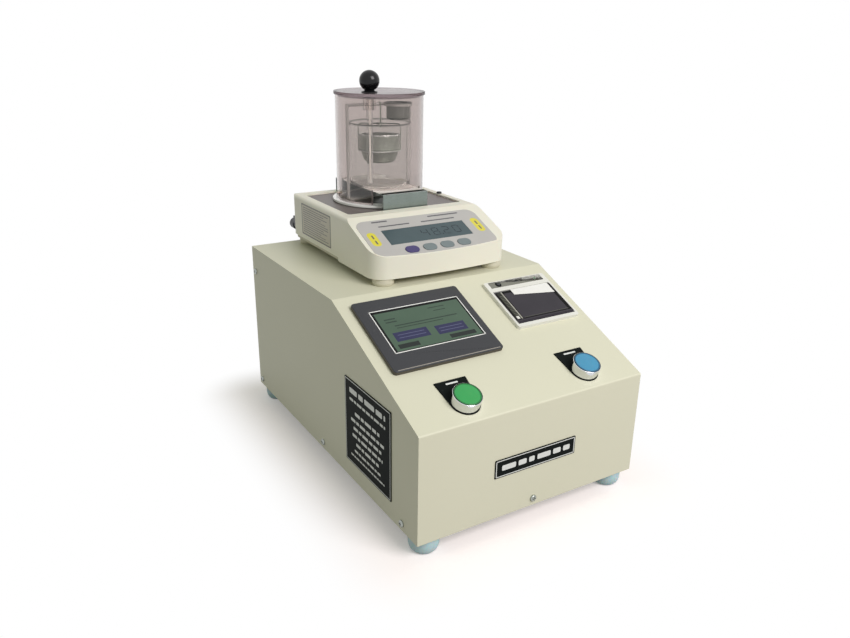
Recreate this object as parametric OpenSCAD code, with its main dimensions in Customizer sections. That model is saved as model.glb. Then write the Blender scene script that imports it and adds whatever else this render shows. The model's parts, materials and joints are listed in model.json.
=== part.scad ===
// Benchtop density meter: a sloped sheet-metal console with a touch panel, a
// ticket printer and two push buttons. A small balance stands on its top. Round
// the weighing pan stand a clear draught shield and a hydrostatic weighing kit.
// Millimetres, +Z up, front towards -Y, feet on Z = 0.

/* [Console case] */
// Width of the case over its side walls
case_w = 300; // [290:1:340]
// Depth of the case, front face to rear edge
case_d = 456; // [450:1:500]
// Height of the flat top above the case's lower edge
case_h = 209; // [200:1:240]
// Height of the upright front face
front_h = 127; // [115:1:135]
// Horizontal run of the sloped panel
slope_run = 194; // [188:1:197]
// Sheet thickness of the cover, tray and rear panel
sheet_t = 1.5; // [1:0.1:2.5]
// Outer bend radius of the folded edges
bend_r = 2.5; // [2:0.1:4]
// Play between the cover and the parts folded inside it
fold_gap = 0.2; // [0.1:0.05:0.5]
// Height of the tray's and the rear panel's flanges
flange_h = 18; // [16:1:30]
// How far the rear panel sits inside the cover's rear edge
rear_inset = 2; // [1:0.5:5]

/* [Case feet and screws] */
// Diameter of a rubber foot
foot_d = 34; // [28:1:38]
// Height of a rubber foot
foot_h = 20; // [14:1:26]
// Distance of a foot's axis from the case edges
foot_inset = 19.5; // [19.5:0.5:30]
// Diameter of the flat disc that a foot stands on
foot_flat_d = 22; // [18:1:26]
// Shank diameter of the case screws
screw_d = 4; // [3:0.5:4]
// Head diameter of the case screws
screw_head_d = 8; // [7:0.5:9]
// Head height of the case screws
screw_head_h = 2.4; // [2:0.1:3]
// Shank length of the case screws
screw_len = 8; // [6:1:12]
// Radial clearance round a screw shank
screw_gap = 0.1; // [0.05:0.05:0.3]
// Height of the lower row of screws above the case's lower edge
screw_row_z = 9; // [8:0.5:11]
// Height of the upper screw at the rear edge
screw_top_z = 175; // [150:1:185]
// Distance of the rear screws from the case's rear edge
screw_rear_in = 11; // [10:1:16]

/* [Plates] */
// Width of the name plate on the front
nameplate_w = 111; // [60:1:160]
// Height of the name plate on the front
nameplate_h = 22; // [14:1:40]
// Height of the name plate's centre
nameplate_z = 61.5; // [45:0.5:80]
// Width of the data plate on the left side
sideplate_w = 108; // [60:1:120]
// Height of the data plate
sideplate_h = 107; // [60:1:110]
// Distance of the data plate's centre from the front
sideplate_y = 108; // [100:1:160]
// Height of the data plate's centre
sideplate_z = 76; // [70:1:90]
// Thickness of both plates
plate_t = 1; // [0.5:0.1:2]

/* [Touch panel] */
// Centre of the touch panel across the slope
hmi_x = -65; // [-70:1:-62]
// Centre of the touch panel up the slope
hmi_s = 137; // [130:1:140]
// Width of the touch panel's bezel
hmi_w = 141; // [130:1:142]
// Height of the touch panel's bezel
hmi_h = 112; // [104:1:116]
// How far the bezel stands out of the slope
hmi_t = 5.5; // [4:0.5:8]
// Corner radius of the bezel
hmi_r = 4; // [1:0.5:8]
// Width of the touch screen's glass
glass_w = 117; // [112:1:120]
// Height of the touch screen's glass
glass_h = 67; // [60:1:74]
// Thickness of the touch screen's glass
glass_t = 2.2; // [1.5:0.1:2.5]
// Offset of the glass from the bezel's centre, across and up the slope
glass_off = [2.2, 3.2];
// Depth of the touch panel's case behind the slope
hmi_depth = 36; // [28:1:40]
// Width of the rim by which the bezel overlaps its cut-out
hmi_rim = 6; // [5:0.5:8]

/* [Ticket printer] */
// Centre of the printer across the slope
prn_x = 90.5; // [88:0.5:94]
// Centre of the printer up the slope
prn_s = 147; // [142:1:152]
// Width of the printer's frame
prn_w = 93; // [91:1:96]
// Height of the printer's frame
prn_h = 82; // [80:1:86]
// How far the frame stands out of the slope
prn_t = 4.5; // [4:0.5:6]
// Width of the door
door_w = 86; // [84:0.5:87]
// Height of the door, hinge to free edge
door_h = 53.6; // [52:0.1:54.5]
// Thickness of the door
door_t = 3.2; // [2.6:0.1:3.4]
// Distance from the frame's lower edge to the hinge line
hinge_up = 8; // [7.6:0.1:9]
// Diameter of the door's hinge pin
hinge_pin_d = 2; // [1.6:0.1:2.4]
// Width of the paper
paper_w = 57.5; // [50:0.5:58]
// Offset of the paper from the printer's middle
paper_x = 10; // [0:0.5:11]
// Diameter of the paper roll
roll_d = 44; // [30:1:46]
// Diameter of the roll's core hole
roll_core_d = 12; // [10:1:14]
// Diameter of the rubber platen roller
platen_d = 10; // [8:0.5:11]
// Longest length of the paper that shows over the door
tongue_len = 18; // [10:0.5:24]
// Diameter of the paper feed key
feed_key_d = 5; // [4:0.5:6]
// Travel of the paper feed key
feed_travel = 0.6; // [0.3:0.1:0.8]

/* [Push buttons] */
// Centre of the green button across the slope
start_x = -80.5; // [-110:0.5:-60]
// Centre of the blue button across the slope
accept_x = 82; // [60:0.5:115]
// Centre of both buttons up the slope
button_s = 26; // [24:0.5:32]
// Diameter of the panel hole for a button
button_hole_d = 22.4; // [22:0.1:24]
// Outer diameter of a button's bezel
bezel_d = 32.6; // [32.2:0.1:33.6]
// Height of a button's bezel above its legend plate
bezel_h = 11.5; // [8:0.5:14]
// Diameter of a button's coloured cap
cap_d = 30.2; // [26:0.2:30.4]
// Radial clearance round a cap
cap_gap = 0.3; // [0.2:0.05:0.5]
// Travel of a button
button_travel = 3.5; // [2:0.5:4]
// Width of a legend plate
legend_w = 40; // [34:1:44]
// Distance from a button's axis to the legend plate's straight edge
legend_up = 32.5; // [22:0.5:34]
// Radius of the legend plate round the button
legend_r = 17.2; // [16.8:0.1:18]
// Thickness of a legend plate
legend_t = 1.2; // [0.8:0.1:2]

/* [Rear connections] */
// Centre of the power entry across the rear
power_x = 92; // [80:1:100]
// Height of the power entry and the data connector
rear_conn_z = 48; // [42:1:70]
// Width of the power entry's flange
power_w = 62; // [58:1:70]
// Height of the power entry's flange
power_h = 30; // [28:1:36]
// Half of the rocker's tilt, either way
rocker_tilt = 8; // [5:0.5:10]
// Centre of the data connector across the rear
data_x = -70; // [-110:1:-50]

/* [Electronics] */
// Width of the controller board
board_w = 150; // [110:1:170]
// Depth of the controller board
board_d = 110; // [80:1:120]
// Height of the board's stand-offs
standoff_h = 10; // [6:1:16]
// Width of the power supply
psu_w = 98; // [80:1:110]
// Depth of the power supply
psu_d = 129; // [100:1:140]
// Height of the power supply
psu_h = 38; // [30:1:50]

/* [Balance body] */
// Offset of the balance from the case's middle
bal_x = 8; // [-10:1:12]
// Distance from the case's front face to the balance's front
bal_y = 199; // [198:1:205]
// Width of the balance
bal_w = 195; // [190:1:210]
// Depth of the balance
bal_d = 261; // [255:1:280]
// Height of the housing's top above what the balance stands on
bal_h = 69; // [64:0.5:76]
// Height of the balance's front lip
lip_z = 35; // [30:0.5:40]
// Distance from the balance's front to the ridge of its slope
ridge_y = 82; // [76:1:86]
// Underside of the front part of the housing
skirt_z = 9; // [8.8:0.1:12]
// Underside of the rear part of the housing
skirt_rear_z = 14; // [13:0.5:20]
// Corner radius of the housing seen from above
bal_r = 22; // [12:1:26]
// Radius of the gentle bow of the housing's front
bow_r = 750; // [500:10:1500]
// Rounding of the housing's upper side edges
crown_r = 6; // [3:0.5:6.5]
// Wall of the housing
bal_wall = 2.5; // [2:0.1:3]
// Depth of the pocket that holds the deck plate
pocket_t = 4; // [3.5:0.1:5]
// Width of the dark deck plate
deck_w = 168; // [160:1:176]
// Depth of the dark deck plate
deck_d = 140; // [136:1:142]
// Distance from the balance's front to the deck plate
deck_y = 98; // [94:1:100]
// Thickness of the deck plate
deck_t = 2; // [1:0.1:2.5]

/* [Balance details] */
// Width of the grey fascia
fascia_w = 174; // [168:1:178]
// Height of the grey fascia up its slope
fascia_h = 75; // [70:1:78]
// Distance from the front lip to the fascia's lower edge
fascia_low = 1.8; // [1.8:0.1:4]
// Thickness of the fascia
fascia_t = 0.5; // [0.3:0.1:1]
// Offset of the fascia from the balance's middle
fascia_shift = -5; // [-6:0.5:6]
// Width of the display
lcd_w = 119; // [90:1:124]
// Height of the display
lcd_h = 30; // [20:1:32]
// Centre of the display up its slope
lcd_s = 40; // [38:0.5:46]
// Width of an oval key
key_w = 18.5; // [14:0.5:20]
// Height of an oval key
key_h = 12.5; // [8:0.5:14]
// Spacing of the keys
key_pitch = 25; // [22:0.5:28]
// Centre of the keys up their slope
key_s = 12; // [10:0.5:15]
// Travel of a key
key_travel = 0.5; // [0.3:0.1:0.8]
// Diameter of a levelling foot
lev_d = 27; // [22:1:30]
// Height of a levelling foot's disc
lev_h = 8.7; // [6:0.1:8.7]
// Diameter of a levelling foot's threaded stem
lev_stem_d = 8; // [6:0.5:10]
// Half the spacing of the levelling feet
lev_x = 79; // [70:1:82]
// Distance of the front levelling feet from the balance's front
lev_front_y = 18; // [17:0.5:26]
// Distance of the rear levelling feet from the balance's front
lev_rear_y = 239; // [220:1:240]
// Diameter of the bubble level
bubble_d = 7.2; // [6:0.2:7.2]

/* [Weighing pan] */
// Distance of the pan's axis from the balance's front
pan_y = 172; // [170:1:173]
// Diameter of the weighing pan
pan_d = 104; // [96:1:105]
// Thickness of the weighing pan
pan_t = 1.5; // [1:0.1:2]
// Gap between the deck plate and the pan
pan_gap = 3; // [2:0.5:4]
// Diameter of the pan's support stem
stem_d = 12; // [8:0.5:16]
// How far the pan goes down under its full load
pan_travel = 0.3; // [0.1:0.05:0.4]

/* [Draught shield] */
// Outer diameter of the shield's cylinder
shield_d = 117; // [114:0.5:118]
// Wall of the shield's cylinder
shield_wall = 3; // [2:0.5:4]
// Height of the shield's cylinder
shield_h = 136; // [134:1:160]
// Diameter of the white base ring
ring_d = 129; // [124:1:132]
// Height of the white base ring
ring_h = 4; // [3:0.5:5]
// Diameter of the lid
lid_d = 120.6; // [118:0.2:126]
// Thickness of the lid's disc
lid_t = 4; // [3:0.5:6]
// Depth of the lid's plug inside the cylinder
lid_plug = 2.5; // [1.5:0.5:3]
// Diameter of the ball knob
knob_d = 26; // [20:1:32]
// Place of the knob and the thermometer from the shield's axis
knob_at = [-26, -22];

/* [Weighing kit] */
// Width of the bridge over the pan
bridge_w = 66.5; // [50:0.5:76]
// Length of the bridge, front leg to rear leg
bridge_l = 142; // [138:1:144]
// Height of the bridge's table above the deck plate
bridge_h = 21; // [19:0.5:26]
// Sheet thickness of the bridge
bridge_t = 1.2; // [0.8:0.1:2]
// Outer diameter of the beaker
beaker_d = 82; // [74:0.5:84]
// Height of the beaker
beaker_h = 83.5; // [76:0.5:86]
// Wall of the beaker
beaker_wall = 1.8; // [1.2:0.1:2.2]
// Half the spacing of the weighing frame's uprights
upright_x = 47; // [46.5:0.1:48]
// Diameter of the frame's rods
rod_d = 4; // [3:0.5:4.5]
// Height of the crossbar's axis above the pan
crossbar_up = 122.5; // [121:0.5:124]
// Place of the upper dish from the shield's axis
dish_at = [21.5, -12.5];
// Diameter of the upper dish
dish_d = 32; // [26:1:34]
// Depth of the upper dish below its rim
dish_h = 21; // [12:1:21]
// Diameter of the basket at its rim
basket_d = 54; // [44:1:56]
// Diameter of the basket's floor
basket_floor_d = 40; // [30:1:44]
// Height of the basket
basket_h = 38; // [30:1:40]
// Height of the basket's floor above the bridge's table
basket_up = 31; // [26:1:34]
// Height of the basket's flange above its floor
flange_up = 16.5; // [14:0.5:20]
// Diameter of the basket's flange
basket_flange_d = 58; // [58:0.5:60]
// Diameter of the basket's wires
wire_d = 1.6; // [1.2:0.1:2]
// Turn of the basket's bail about the shield's axis
bail_turn = -31; // [-45:1:45]
// Diameter of the thermometer's tube
thermo_d = 8; // [6:0.5:8]
// Diameter of the thermometer's bush under the lid
bush_d = 16; // [12:1:18]
// Length of the thermometer's bush below the lid's plug
bush_len = 15; // [8:1:16]

/* [Hidden] */
$fn = 64;
EPS = 0.01;
CUT = 1;                       // how far a cutter runs past a face
SOFT_GAP = 0.3;                // play between faces of different bodies

slope_a = atan2(case_h - front_h, slope_run);
foot_r = foot_d / 2;
screw_hole_r = screw_d / 2 + screw_gap;

// Balance: its slope, its deck and what stands on it, above the case's top
bal_slope_a = atan2(bal_h - lip_z, ridge_y);
fascia_s = fascia_low + fascia_h / 2;
pocket_z = bal_h - pocket_t;
deck_z = pocket_z + deck_t;
pan_z = deck_z + pan_gap;
pan_top_z = pan_z + pan_t;
ring_top_z = deck_z + ring_h;
lid_z = ring_top_z + shield_h;
lid_top_z = lid_z + lid_t;
shield_in_r = shield_d / 2 - shield_wall;
table_z = deck_z + bridge_h;
crossbar_z = pan_top_z + crossbar_up;
basket_z = table_z + basket_up;
bail_z = basket_z + basket_h + 12;
knob_seat_h = 3;
conn_out = 12;                 // reach of the balance's rear connectors
conn_at = [-76, 28];           // middle of their block, across and up
conn_w = 34;
conn_h = 15;

// Depth of the whole object, which puts the origin in the middle of its box
rear_y = bal_y + bal_d + conn_out;
mid_y = (rear_y - screw_head_h) / 2;

// Printer places, from the middle of its frame
prn_low = -prn_h / 2;
hinge_s = prn_low + hinge_up;
hinge_z = 2.6;
door_top_s = hinge_s + door_h;
door_open_w = door_w + 2 * SOFT_GAP;
knuckle_d = 4;                 // round edge of the door about its pin
door_back = 0.6;               // depth of the door's back behind its pin
opening_s0 = hinge_s - door_t + door_back - SOFT_GAP;
opening_s1 = door_top_s + 2.2; // upper edge of the door opening, past the paper
pin_x = prn_w / 2 - 1.2;       // half the length of the hinge pin
well_r = roll_d / 2 + SOFT_GAP;
roll_s = (hinge_s + door_top_s) / 2;
roll_z = -well_r - 4;
platen_s = door_top_s - platen_d / 2 - 0.6;
platen_z = -platen_d / 2;
feed_at = [-prn_w / 2 + 19, prn_h / 2 - 6.5];

// ---------------------------------------------------------------- places

// Case frame: X from the middle, Y from the front face, Z from its lower edge
module at_case() {
    translate([0, -mid_y, foot_h]) children();
}

// Slope frame: X across, Y up the slope from its lower fold, Z outwards
module on_slope(x = 0, s = 0) {
    at_case() translate([0, 0, front_h]) rotate([slope_a, 0, 0])
        translate([x, s, 0]) children();
}

// Balance frame: X from its middle, Y from its front, Z from the case's top
module at_balance() {
    at_case() translate([bal_x, bal_y, case_h]) children();
}

// Fascia frame: X across, Y up the balance's slope, Z outwards
module on_fascia(x = 0, s = 0) {
    at_balance() translate([0, 0, lip_z]) rotate([bal_slope_a, 0, 0])
        translate([x, s, 0]) children();
}

// Frame of the pan's axis, Z from the case's top
module at_pan() {
    at_balance() translate([0, pan_y, 0]) children();
}

// Rear panel frame: X across, Y outwards, Z up from the case's lower edge
module at_rear(x = 0, z = 0) {
    at_case() translate([x, case_d - rear_inset, z]) children();
}

// ---------------------------------------------------------------- shapes

// Rectangle with round corners, centred
module rrect(w, d, r) {
    square([w - 2 * r, d], center = true);
    square([w, d - 2 * r], center = true);
    for (x = [-1, 1])
        for (y = [-1, 1])
            translate([x * (w / 2 - r), y * (d / 2 - r)]) circle(r);
}

// Plate with round corners, centred in X and Y, from z = 0 up
module rplate(w, d, h, r) {
    linear_extrude(h) rrect(w, d, r);
}

// Box centred in X and Y, from z = 0 up
module block(w, d, h) {
    translate([-w / 2, -d / 2, 0]) cube([w, d, h]);
}

// Ring from z = 0 up
module ring(outer_d, inner_d, h) {
    difference() {
        cylinder(h = h, d = outer_d);
        translate([0, 0, -CUT]) cylinder(h = h + 2 * CUT, d = inner_d);
    }
}

// Prism of a side outline [y, z], centred across X
module side_prism(points, width) {
    translate([-width / 2, 0, 0]) rotate([90, 0, 90])
        linear_extrude(width) polygon(points);
}

// Rod along X between two places
module rod_x(x0, x1, d) {
    translate([x0, 0, 0]) rotate([0, 90, 0]) cylinder(h = x1 - x0, d = d);
}

// Oval of a key, a slot shape centred on the origin
module oval(w, h) {
    square([w - h, h], center = true);
    for (x = [-1, 1]) translate([x * (w - h) / 2, 0]) circle(d = h);
}

// Points of a fillet at corner p between its neighbours a and b
function fillet(a, p, b, r, steps = 6) =
    let (u = (a - p) / norm(a - p),
         v = (b - p) / norm(b - p),
         half = acos(u * v) / 2,
         c = p + (u + v) / norm(u + v) * r / sin(half),
         s = p + u * r / tan(half) - c,
         e = p + v * r / tan(half) - c,
         a0 = atan2(s[1], s[0]),
         turn = atan2(s[0] * e[1] - s[1] * e[0], s * e))
    [for (i = [0:steps]) c + r * [cos(a0 + turn * i / steps),
                                  sin(a0 + turn * i / steps)]];

// Outline with each corner rounded by its own radius, where that is above 0
function rounded(pts, radii) =
    let (n = len(pts))
    [for (i = [0:n - 1])
        each (radii[i] > 0
            ? fillet(pts[(i + n - 1) % n], pts[i], pts[(i + 1) % n], radii[i])
            : [pts[i]])];

// Pan head screw along -Z, its head's seat on z = 0, with a cross recess
module pan_screw() {
    difference() {
        union() {
            rotate_extrude() polygon(rounded(
                [[0, 0], [screw_head_d / 2, 0], [screw_head_d / 2, screw_head_h],
                 [0, screw_head_h]], [0, 0, screw_head_h * 0.6, 0]));
            translate([0, 0, -screw_len]) cylinder(h = screw_len + EPS, d = screw_d);
        }
        for (a = [0, 90])
            rotate([0, 0, a]) translate([0, 0, screw_head_h - 1.2])
                block(screw_head_d * 0.55, 1, CUT + 1.2);
    }
}

// Places of the side screws, [y, z]
side_screws = [[32, screw_row_z], [case_d / 2 + 2, screw_row_z],
               [case_d - screw_rear_in, screw_row_z],
               [case_d - screw_rear_in, screw_top_z]];

// Places of the rubber feet, [x, y]
case_feet = [for (x = [-1, 1])
                for (y = [foot_inset, case_d - foot_inset])
                    [x * (case_w / 2 - foot_inset), y]];

// Turns children to point out of the left (-1) or right (1) side wall
module on_side(side, y, z, inset = 0) {
    at_case() translate([side * (case_w / 2 - inset), y, z])
        rotate([0, side * 90, 0]) children();
}

// ---------------------------------------------------------------- case

// Side outline of the case, shrunk by one wall where inner is true
function case_outline(inner) =
    let (t = inner ? sheet_t : 0,
         drop = t / cos(slope_a),
         r = inner ? bend_r - sheet_t : bend_r,
         z_low = front_h - drop + t * tan(slope_a),
         y_top = slope_run + (drop - t) / tan(slope_a),
         low = inner ? -CUT : 0,
         back = inner ? case_d + CUT : case_d)
    rounded([[t, low], [back, low], [back, case_h - t], [y_top, case_h - t],
             [t, z_low]], [0, 0, 0, r, r]);

module hmi_cutout() {
    on_slope(hmi_x, hmi_s) translate([0, 0, -hmi_depth])
        block(hmi_w - 2 * hmi_rim, hmi_h - 2 * hmi_rim, 2 * hmi_depth);
}

module printer_cutout() {
    on_slope(prn_x, prn_s) translate([0, 0, -20])
        block(prn_w - 4, prn_h - 4, 40);
}

module housing_cover() {
    color("#DCD8C0")
    difference() {
        at_case() difference() {
            side_prism(case_outline(false), case_w);
            side_prism(case_outline(true), case_w - 2 * sheet_t);
        }
        hmi_cutout();
        printer_cutout();
        for (x = [start_x, accept_x])
            on_slope(x, button_s) translate([0, 0, -10])
                cylinder(h = 20, d = button_hole_d);
        for (side = [-1, 1])
            for (p = side_screws)
                on_side(side, p[0], p[1]) translate([0, 0, -sheet_t - CUT])
                    cylinder(h = sheet_t + 2 * CUT, r = screw_hole_r);
        at_case() translate([0, -CUT, screw_row_z]) rotate([-90, 0, 0])
            cylinder(h = sheet_t + 2 * CUT, r = screw_hole_r);
    }
}

tray_w = case_w - 2 * (sheet_t + fold_gap);
tray_y = sheet_t + fold_gap;
rear_face_y = case_d - rear_inset;
tray_d = rear_face_y - sheet_t - fold_gap - tray_y;

// Middle of the controller board and of the power supply in the case frame
board_at = [-case_w * 0.4 + board_w / 2, case_d * 0.46];
psu_at = [case_w * 0.407 - psu_w / 2, case_d * 0.726];
board_holes = [for (x = [-1, 1]) for (y = [-1, 1])
                  board_at + [x * (board_w / 2 - 6), y * (board_d / 2 - 6)]];

module base_tray() {
    color("#C9C6B2")
    difference() {
        at_case() {
            difference() {
                translate([-tray_w / 2, tray_y, 0]) cube([tray_w, tray_d, flange_h]);
                translate([-tray_w / 2 + sheet_t, tray_y + sheet_t, sheet_t])
                    cube([tray_w - 2 * sheet_t, tray_d - 2 * sheet_t, flange_h]);
            }
            for (p = board_holes)
                translate([p[0], p[1], sheet_t - EPS])
                    cylinder(h = standoff_h + EPS, d = 7);
        }
        for (p = board_holes)
            at_case() translate([p[0], p[1], sheet_t + 2])
                cylinder(h = standoff_h, d = 2.6);
        for (side = [-1, 1])
            for (i = [0:2])
                on_side(side, side_screws[i][0], side_screws[i][1],
                        2 * sheet_t + fold_gap)
                    translate([0, 0, -CUT])
                        cylinder(h = sheet_t + 2 * CUT, r = screw_hole_r);
        at_case() translate([0, tray_y - CUT, screw_row_z]) rotate([-90, 0, 0])
            cylinder(h = sheet_t + 2 * CUT, r = screw_hole_r);
        for (p = case_feet)
            at_case() translate([p[0], p[1], -CUT])
                cylinder(h = sheet_t + 2 * CUT, r = screw_hole_r);
    }
}

// Slots for air in the rear panel, [x, z]
vent_slots = [for (i = [0:8]) [-40 + 10 * i, 130]];

module rear_panel() {
    color("#D6D2BA")
    difference() {
        union() {
            at_rear(0, sheet_t + fold_gap) translate([-tray_w / 2, -sheet_t, 0])
                cube([tray_w, sheet_t, case_h - 2 * (sheet_t + fold_gap)]);
            for (side = [-1, 1])
                at_rear(side * (tray_w - sheet_t) / 2, flange_h + fold_gap)
                    translate([-sheet_t / 2, -sheet_t - flange_h, 0])
                        cube([sheet_t, flange_h + EPS,
                              case_h - flange_h - sheet_t - 2 * fold_gap]);
        }
        at_rear(power_x, rear_conn_z) rotate([90, 0, 0]) translate([0, 0, -CUT])
            block(power_w - 14, power_h - 8, 4 * CUT);
        at_rear(data_x, rear_conn_z) rotate([90, 0, 0]) translate([0, 0, -CUT])
            block(20, 11, 4 * CUT);
        for (p = vent_slots)
            at_rear(p[0], p[1]) rotate([90, 0, 0]) translate([0, 0, -CUT])
                rplate(4, 40, 4 * CUT, 1.9);
        for (side = [-1, 1])
            on_side(side, side_screws[3][0], side_screws[3][1],
                    2 * sheet_t + fold_gap)
                translate([0, 0, -CUT])
                    cylinder(h = sheet_t + 2 * CUT, r = screw_hole_r);
    }
}

module case_screws() {
    color("#C8CACC") {
        for (side = [-1, 1])
            for (p = side_screws)
                on_side(side, p[0], p[1]) pan_screw();
        at_case() translate([0, 0, screw_row_z]) rotate([90, 0, 0]) pan_screw();
        for (p = case_feet)
            at_case() translate([p[0], p[1], -foot_bore_z]) rotate([180, 0, 0])
                pan_screw();
    }
}

// Thickness of a foot's rubber above its screw head
foot_bore_z = 4;

module rubber_feet() {
    color("#9FC3CF")
    for (p = case_feet)
        at_case() translate([p[0], p[1], -foot_h]) difference() {
            rotate_extrude() polygon(concat([[0, 0], [foot_flat_d / 2, 0]],
                [for (a = [10:16:90])
                    [foot_flat_d / 2 + (foot_r - foot_flat_d / 2) * sin(a),
                     foot_h * 0.55 * (1 - cos(a))]],
                [[foot_r, foot_h * 0.55], [foot_r, foot_h], [0, foot_h]]));
            translate([0, 0, -CUT])
                cylinder(h = foot_h - foot_bore_z + CUT, d = screw_head_d + 1.2);
            cylinder(h = foot_h + CUT, r = screw_hole_r);
        }
}

module front_nameplate() {
    color("#16191C")
    at_case() translate([0, -plate_t, nameplate_z]) rotate([-90, 0, 0])
        rplate(nameplate_w, nameplate_h, plate_t, 1);
}

module side_plate() {
    color("#16191C")
    on_side(-1, sideplate_y, sideplate_z)
        rplate(sideplate_h, sideplate_w, plate_t, 1);
}

// ---------------------------------------------------------------- touch panel

module hmi_bezel() {
    color("#3E4044")
    on_slope(hmi_x, hmi_s) difference() {
        rplate(hmi_w, hmi_h, hmi_t, hmi_r);
        translate([glass_off[0], glass_off[1], hmi_t - glass_t - 0.5])
            block(glass_w, glass_h, glass_t + CUT);
        translate([glass_off[0], glass_off[1], -CUT])
            block(glass_w - 8, glass_h - 6, hmi_t + 2 * CUT);
    }
}

module hmi_screen() {
    color("#6E8474")
    on_slope(hmi_x, hmi_s)
        translate([glass_off[0], glass_off[1], hmi_t - glass_t - 0.5])
            block(glass_w - 2 * fold_gap, glass_h - 2 * fold_gap, glass_t);
}

hmi_case_w = hmi_w - 2 * hmi_rim - 1;
hmi_case_h = hmi_h - 2 * hmi_rim - 1;

module hmi_rear_case() {
    color("#2E3033")
    on_slope(hmi_x, hmi_s) difference() {
        translate([0, 0, -hmi_depth]) block(hmi_case_w, hmi_case_h, hmi_depth);
        translate([0, 0, -hmi_depth + 2])
            block(hmi_case_w - 4, hmi_case_h - 4, hmi_depth);
        // terminal openings in the case's back
        for (x = [-30, 30])
            translate([x, -20, -hmi_depth - CUT]) block(26, 9, 4);
    }
}

module hmi_clamps() {
    color("#B9BCBE")
    on_slope(hmi_x, hmi_s)
        for (x = [-1, 1])
            for (y = [-1, 1])
                translate([x * hmi_case_w * 0.3, y * (hmi_case_h / 2 + 5), 0])
                    difference() {
                        translate([0, 0, -sheet_t - 14]) block(9, 10, 14);
                        translate([0, 0, -sheet_t - 14 - CUT])
                            cylinder(h = 9, d = 3.2);
                    }
}

// ---------------------------------------------------------------- printer

module printer_frame() {
    color("#C9CCC8")
    on_slope(prn_x, prn_s) difference() {
        rplate(prn_w, prn_h, prn_t, 3);
        // door opening, with one rounded lower sill
        translate([0, (opening_s0 + opening_s1) / 2, -CUT])
            block(door_open_w, opening_s1 - opening_s0, prn_t + 2 * CUT);
        // seat of the strip that carries the feed key
        translate([0, feed_at[1], prn_t - 0.6]) block(prn_w - 12, 10.5, CUT + 0.6);
        translate([feed_at[0], feed_at[1], -CUT])
            cylinder(h = prn_t + 2 * CUT, d = feed_key_d + 2 * SOFT_GAP);
        translate([0, hinge_s, hinge_z]) rod_x(-pin_x, pin_x, hinge_pin_d);
    }
}

module printer_body() {
    color("#33363A")
    on_slope(prn_x, prn_s) difference() {
        translate([0, 0, roll_z - well_r - 3])
            block(prn_w - 6, prn_h - 6, -roll_z + well_r + 3);
        // well for the roll, open towards the door
        translate([paper_x - paper_w / 2 - 1.2, roll_s, roll_z]) rotate([0, 90, 0])
            cylinder(h = paper_w + 2.4, r = well_r);
        translate([paper_x, roll_s, roll_z]) block(paper_w + 2.4, 2 * well_r, 60);
        // room for the door's ears and the platen
        translate([paper_x, (roll_s + opening_s1) / 2, -16])
            block(paper_w + 13, opening_s1 - roll_s, 30);
        // feed key's switch pocket
        translate([feed_at[0], feed_at[1], -6])
            cylinder(h = 8, d = feed_key_d + 2 * SOFT_GAP);
    }
}

// Thermal head, bolted to the upper wall of the well
module print_head() {
    color("#8E9194")
    on_slope(prn_x + paper_x, prn_s) translate([0, opening_s1 - 0.7, -13])
        block(paper_w + 4, 1.4, 10);
}

module printer_door() {
    color("#3D3B40")
    on_slope(prn_x, prn_s) difference() {
        union() {
            translate([0, hinge_s + door_h / 2, hinge_z - door_back])
                block(door_w, door_h, door_t);
            translate([0, hinge_s, hinge_z]) rod_x(-door_w / 2, door_w / 2, knuckle_d);
            // ears that carry the platen
            for (x = [-1, 1])
                translate([paper_x + x * (paper_w / 2 + 2.5), platen_s, platen_z - 4])
                    block(2.4, 8, hinge_z - platen_z + 4);
        }
        translate([0, hinge_s, hinge_z])
            rod_x(-door_w / 2 - CUT, door_w / 2 + CUT, hinge_pin_d + 0.1);
        translate([paper_x, platen_s, platen_z])
            rod_x(-paper_w / 2 - 5, paper_w / 2 + 5, 4.1);
    }
}

module printer_hinge_pin() {
    color("#B9BCBE")
    on_slope(prn_x, prn_s) translate([0, hinge_s, hinge_z])
        rod_x(-pin_x, pin_x, hinge_pin_d);
}

module printer_platen() {
    color("#2A2A2C")
    on_slope(prn_x + paper_x, prn_s) translate([0, platen_s, platen_z]) {
        rod_x(-paper_w / 2, paper_w / 2, platen_d);
        rod_x(-paper_w / 2 - 5, paper_w / 2 + 5, 4);
    }
}

module paper_roll() {
    color("#F2F2EE")
    on_slope(prn_x, prn_s) translate([paper_x - paper_w / 2, roll_s, roll_z])
        rotate([0, 90, 0]) ring(roll_d, roll_core_d, paper_w);
}

tongue_t = 0.4;                // thickness of the modelled paper
tongue_bend = 0.5;             // inner radius of its bend over the door's edge
tear_a = 8.5;                  // slant of its torn edge
tongue_z = hinge_z - door_back + door_t;

// Points of the tongue's bend at radius r, from the flat part to the upright one
function tongue_arc(r) =
    [for (a = [90:-15:0]) [door_top_s - 0.2 + r * cos(a), tongue_z - 0.2 + r * sin(a)]];

module paper_tongue() {
    color("#F7F7F4")
    on_slope(prn_x + paper_x, prn_s) difference() {
        side_prism(concat(
            [[door_top_s - tongue_len, tongue_z - 0.2 + tongue_bend + tongue_t]],
            tongue_arc(tongue_bend + tongue_t),
            [[door_top_s - 0.2 + tongue_bend + tongue_t, -1],
             [door_top_s - 0.2 + tongue_bend, -1]],
            [for (i = [6:-1:0]) tongue_arc(tongue_bend)[i]],
            [[door_top_s - tongue_len, tongue_z - 0.2 + tongue_bend]]), paper_w);
        // slanted torn edge, longer at the right
        translate([paper_w / 2, door_top_s - tongue_len, 0]) rotate([0, 0, -tear_a])
            translate([-2 * paper_w, -2 * tongue_len, 0])
                cube([3 * paper_w, 2 * tongue_len, 20]);
    }
}

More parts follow.
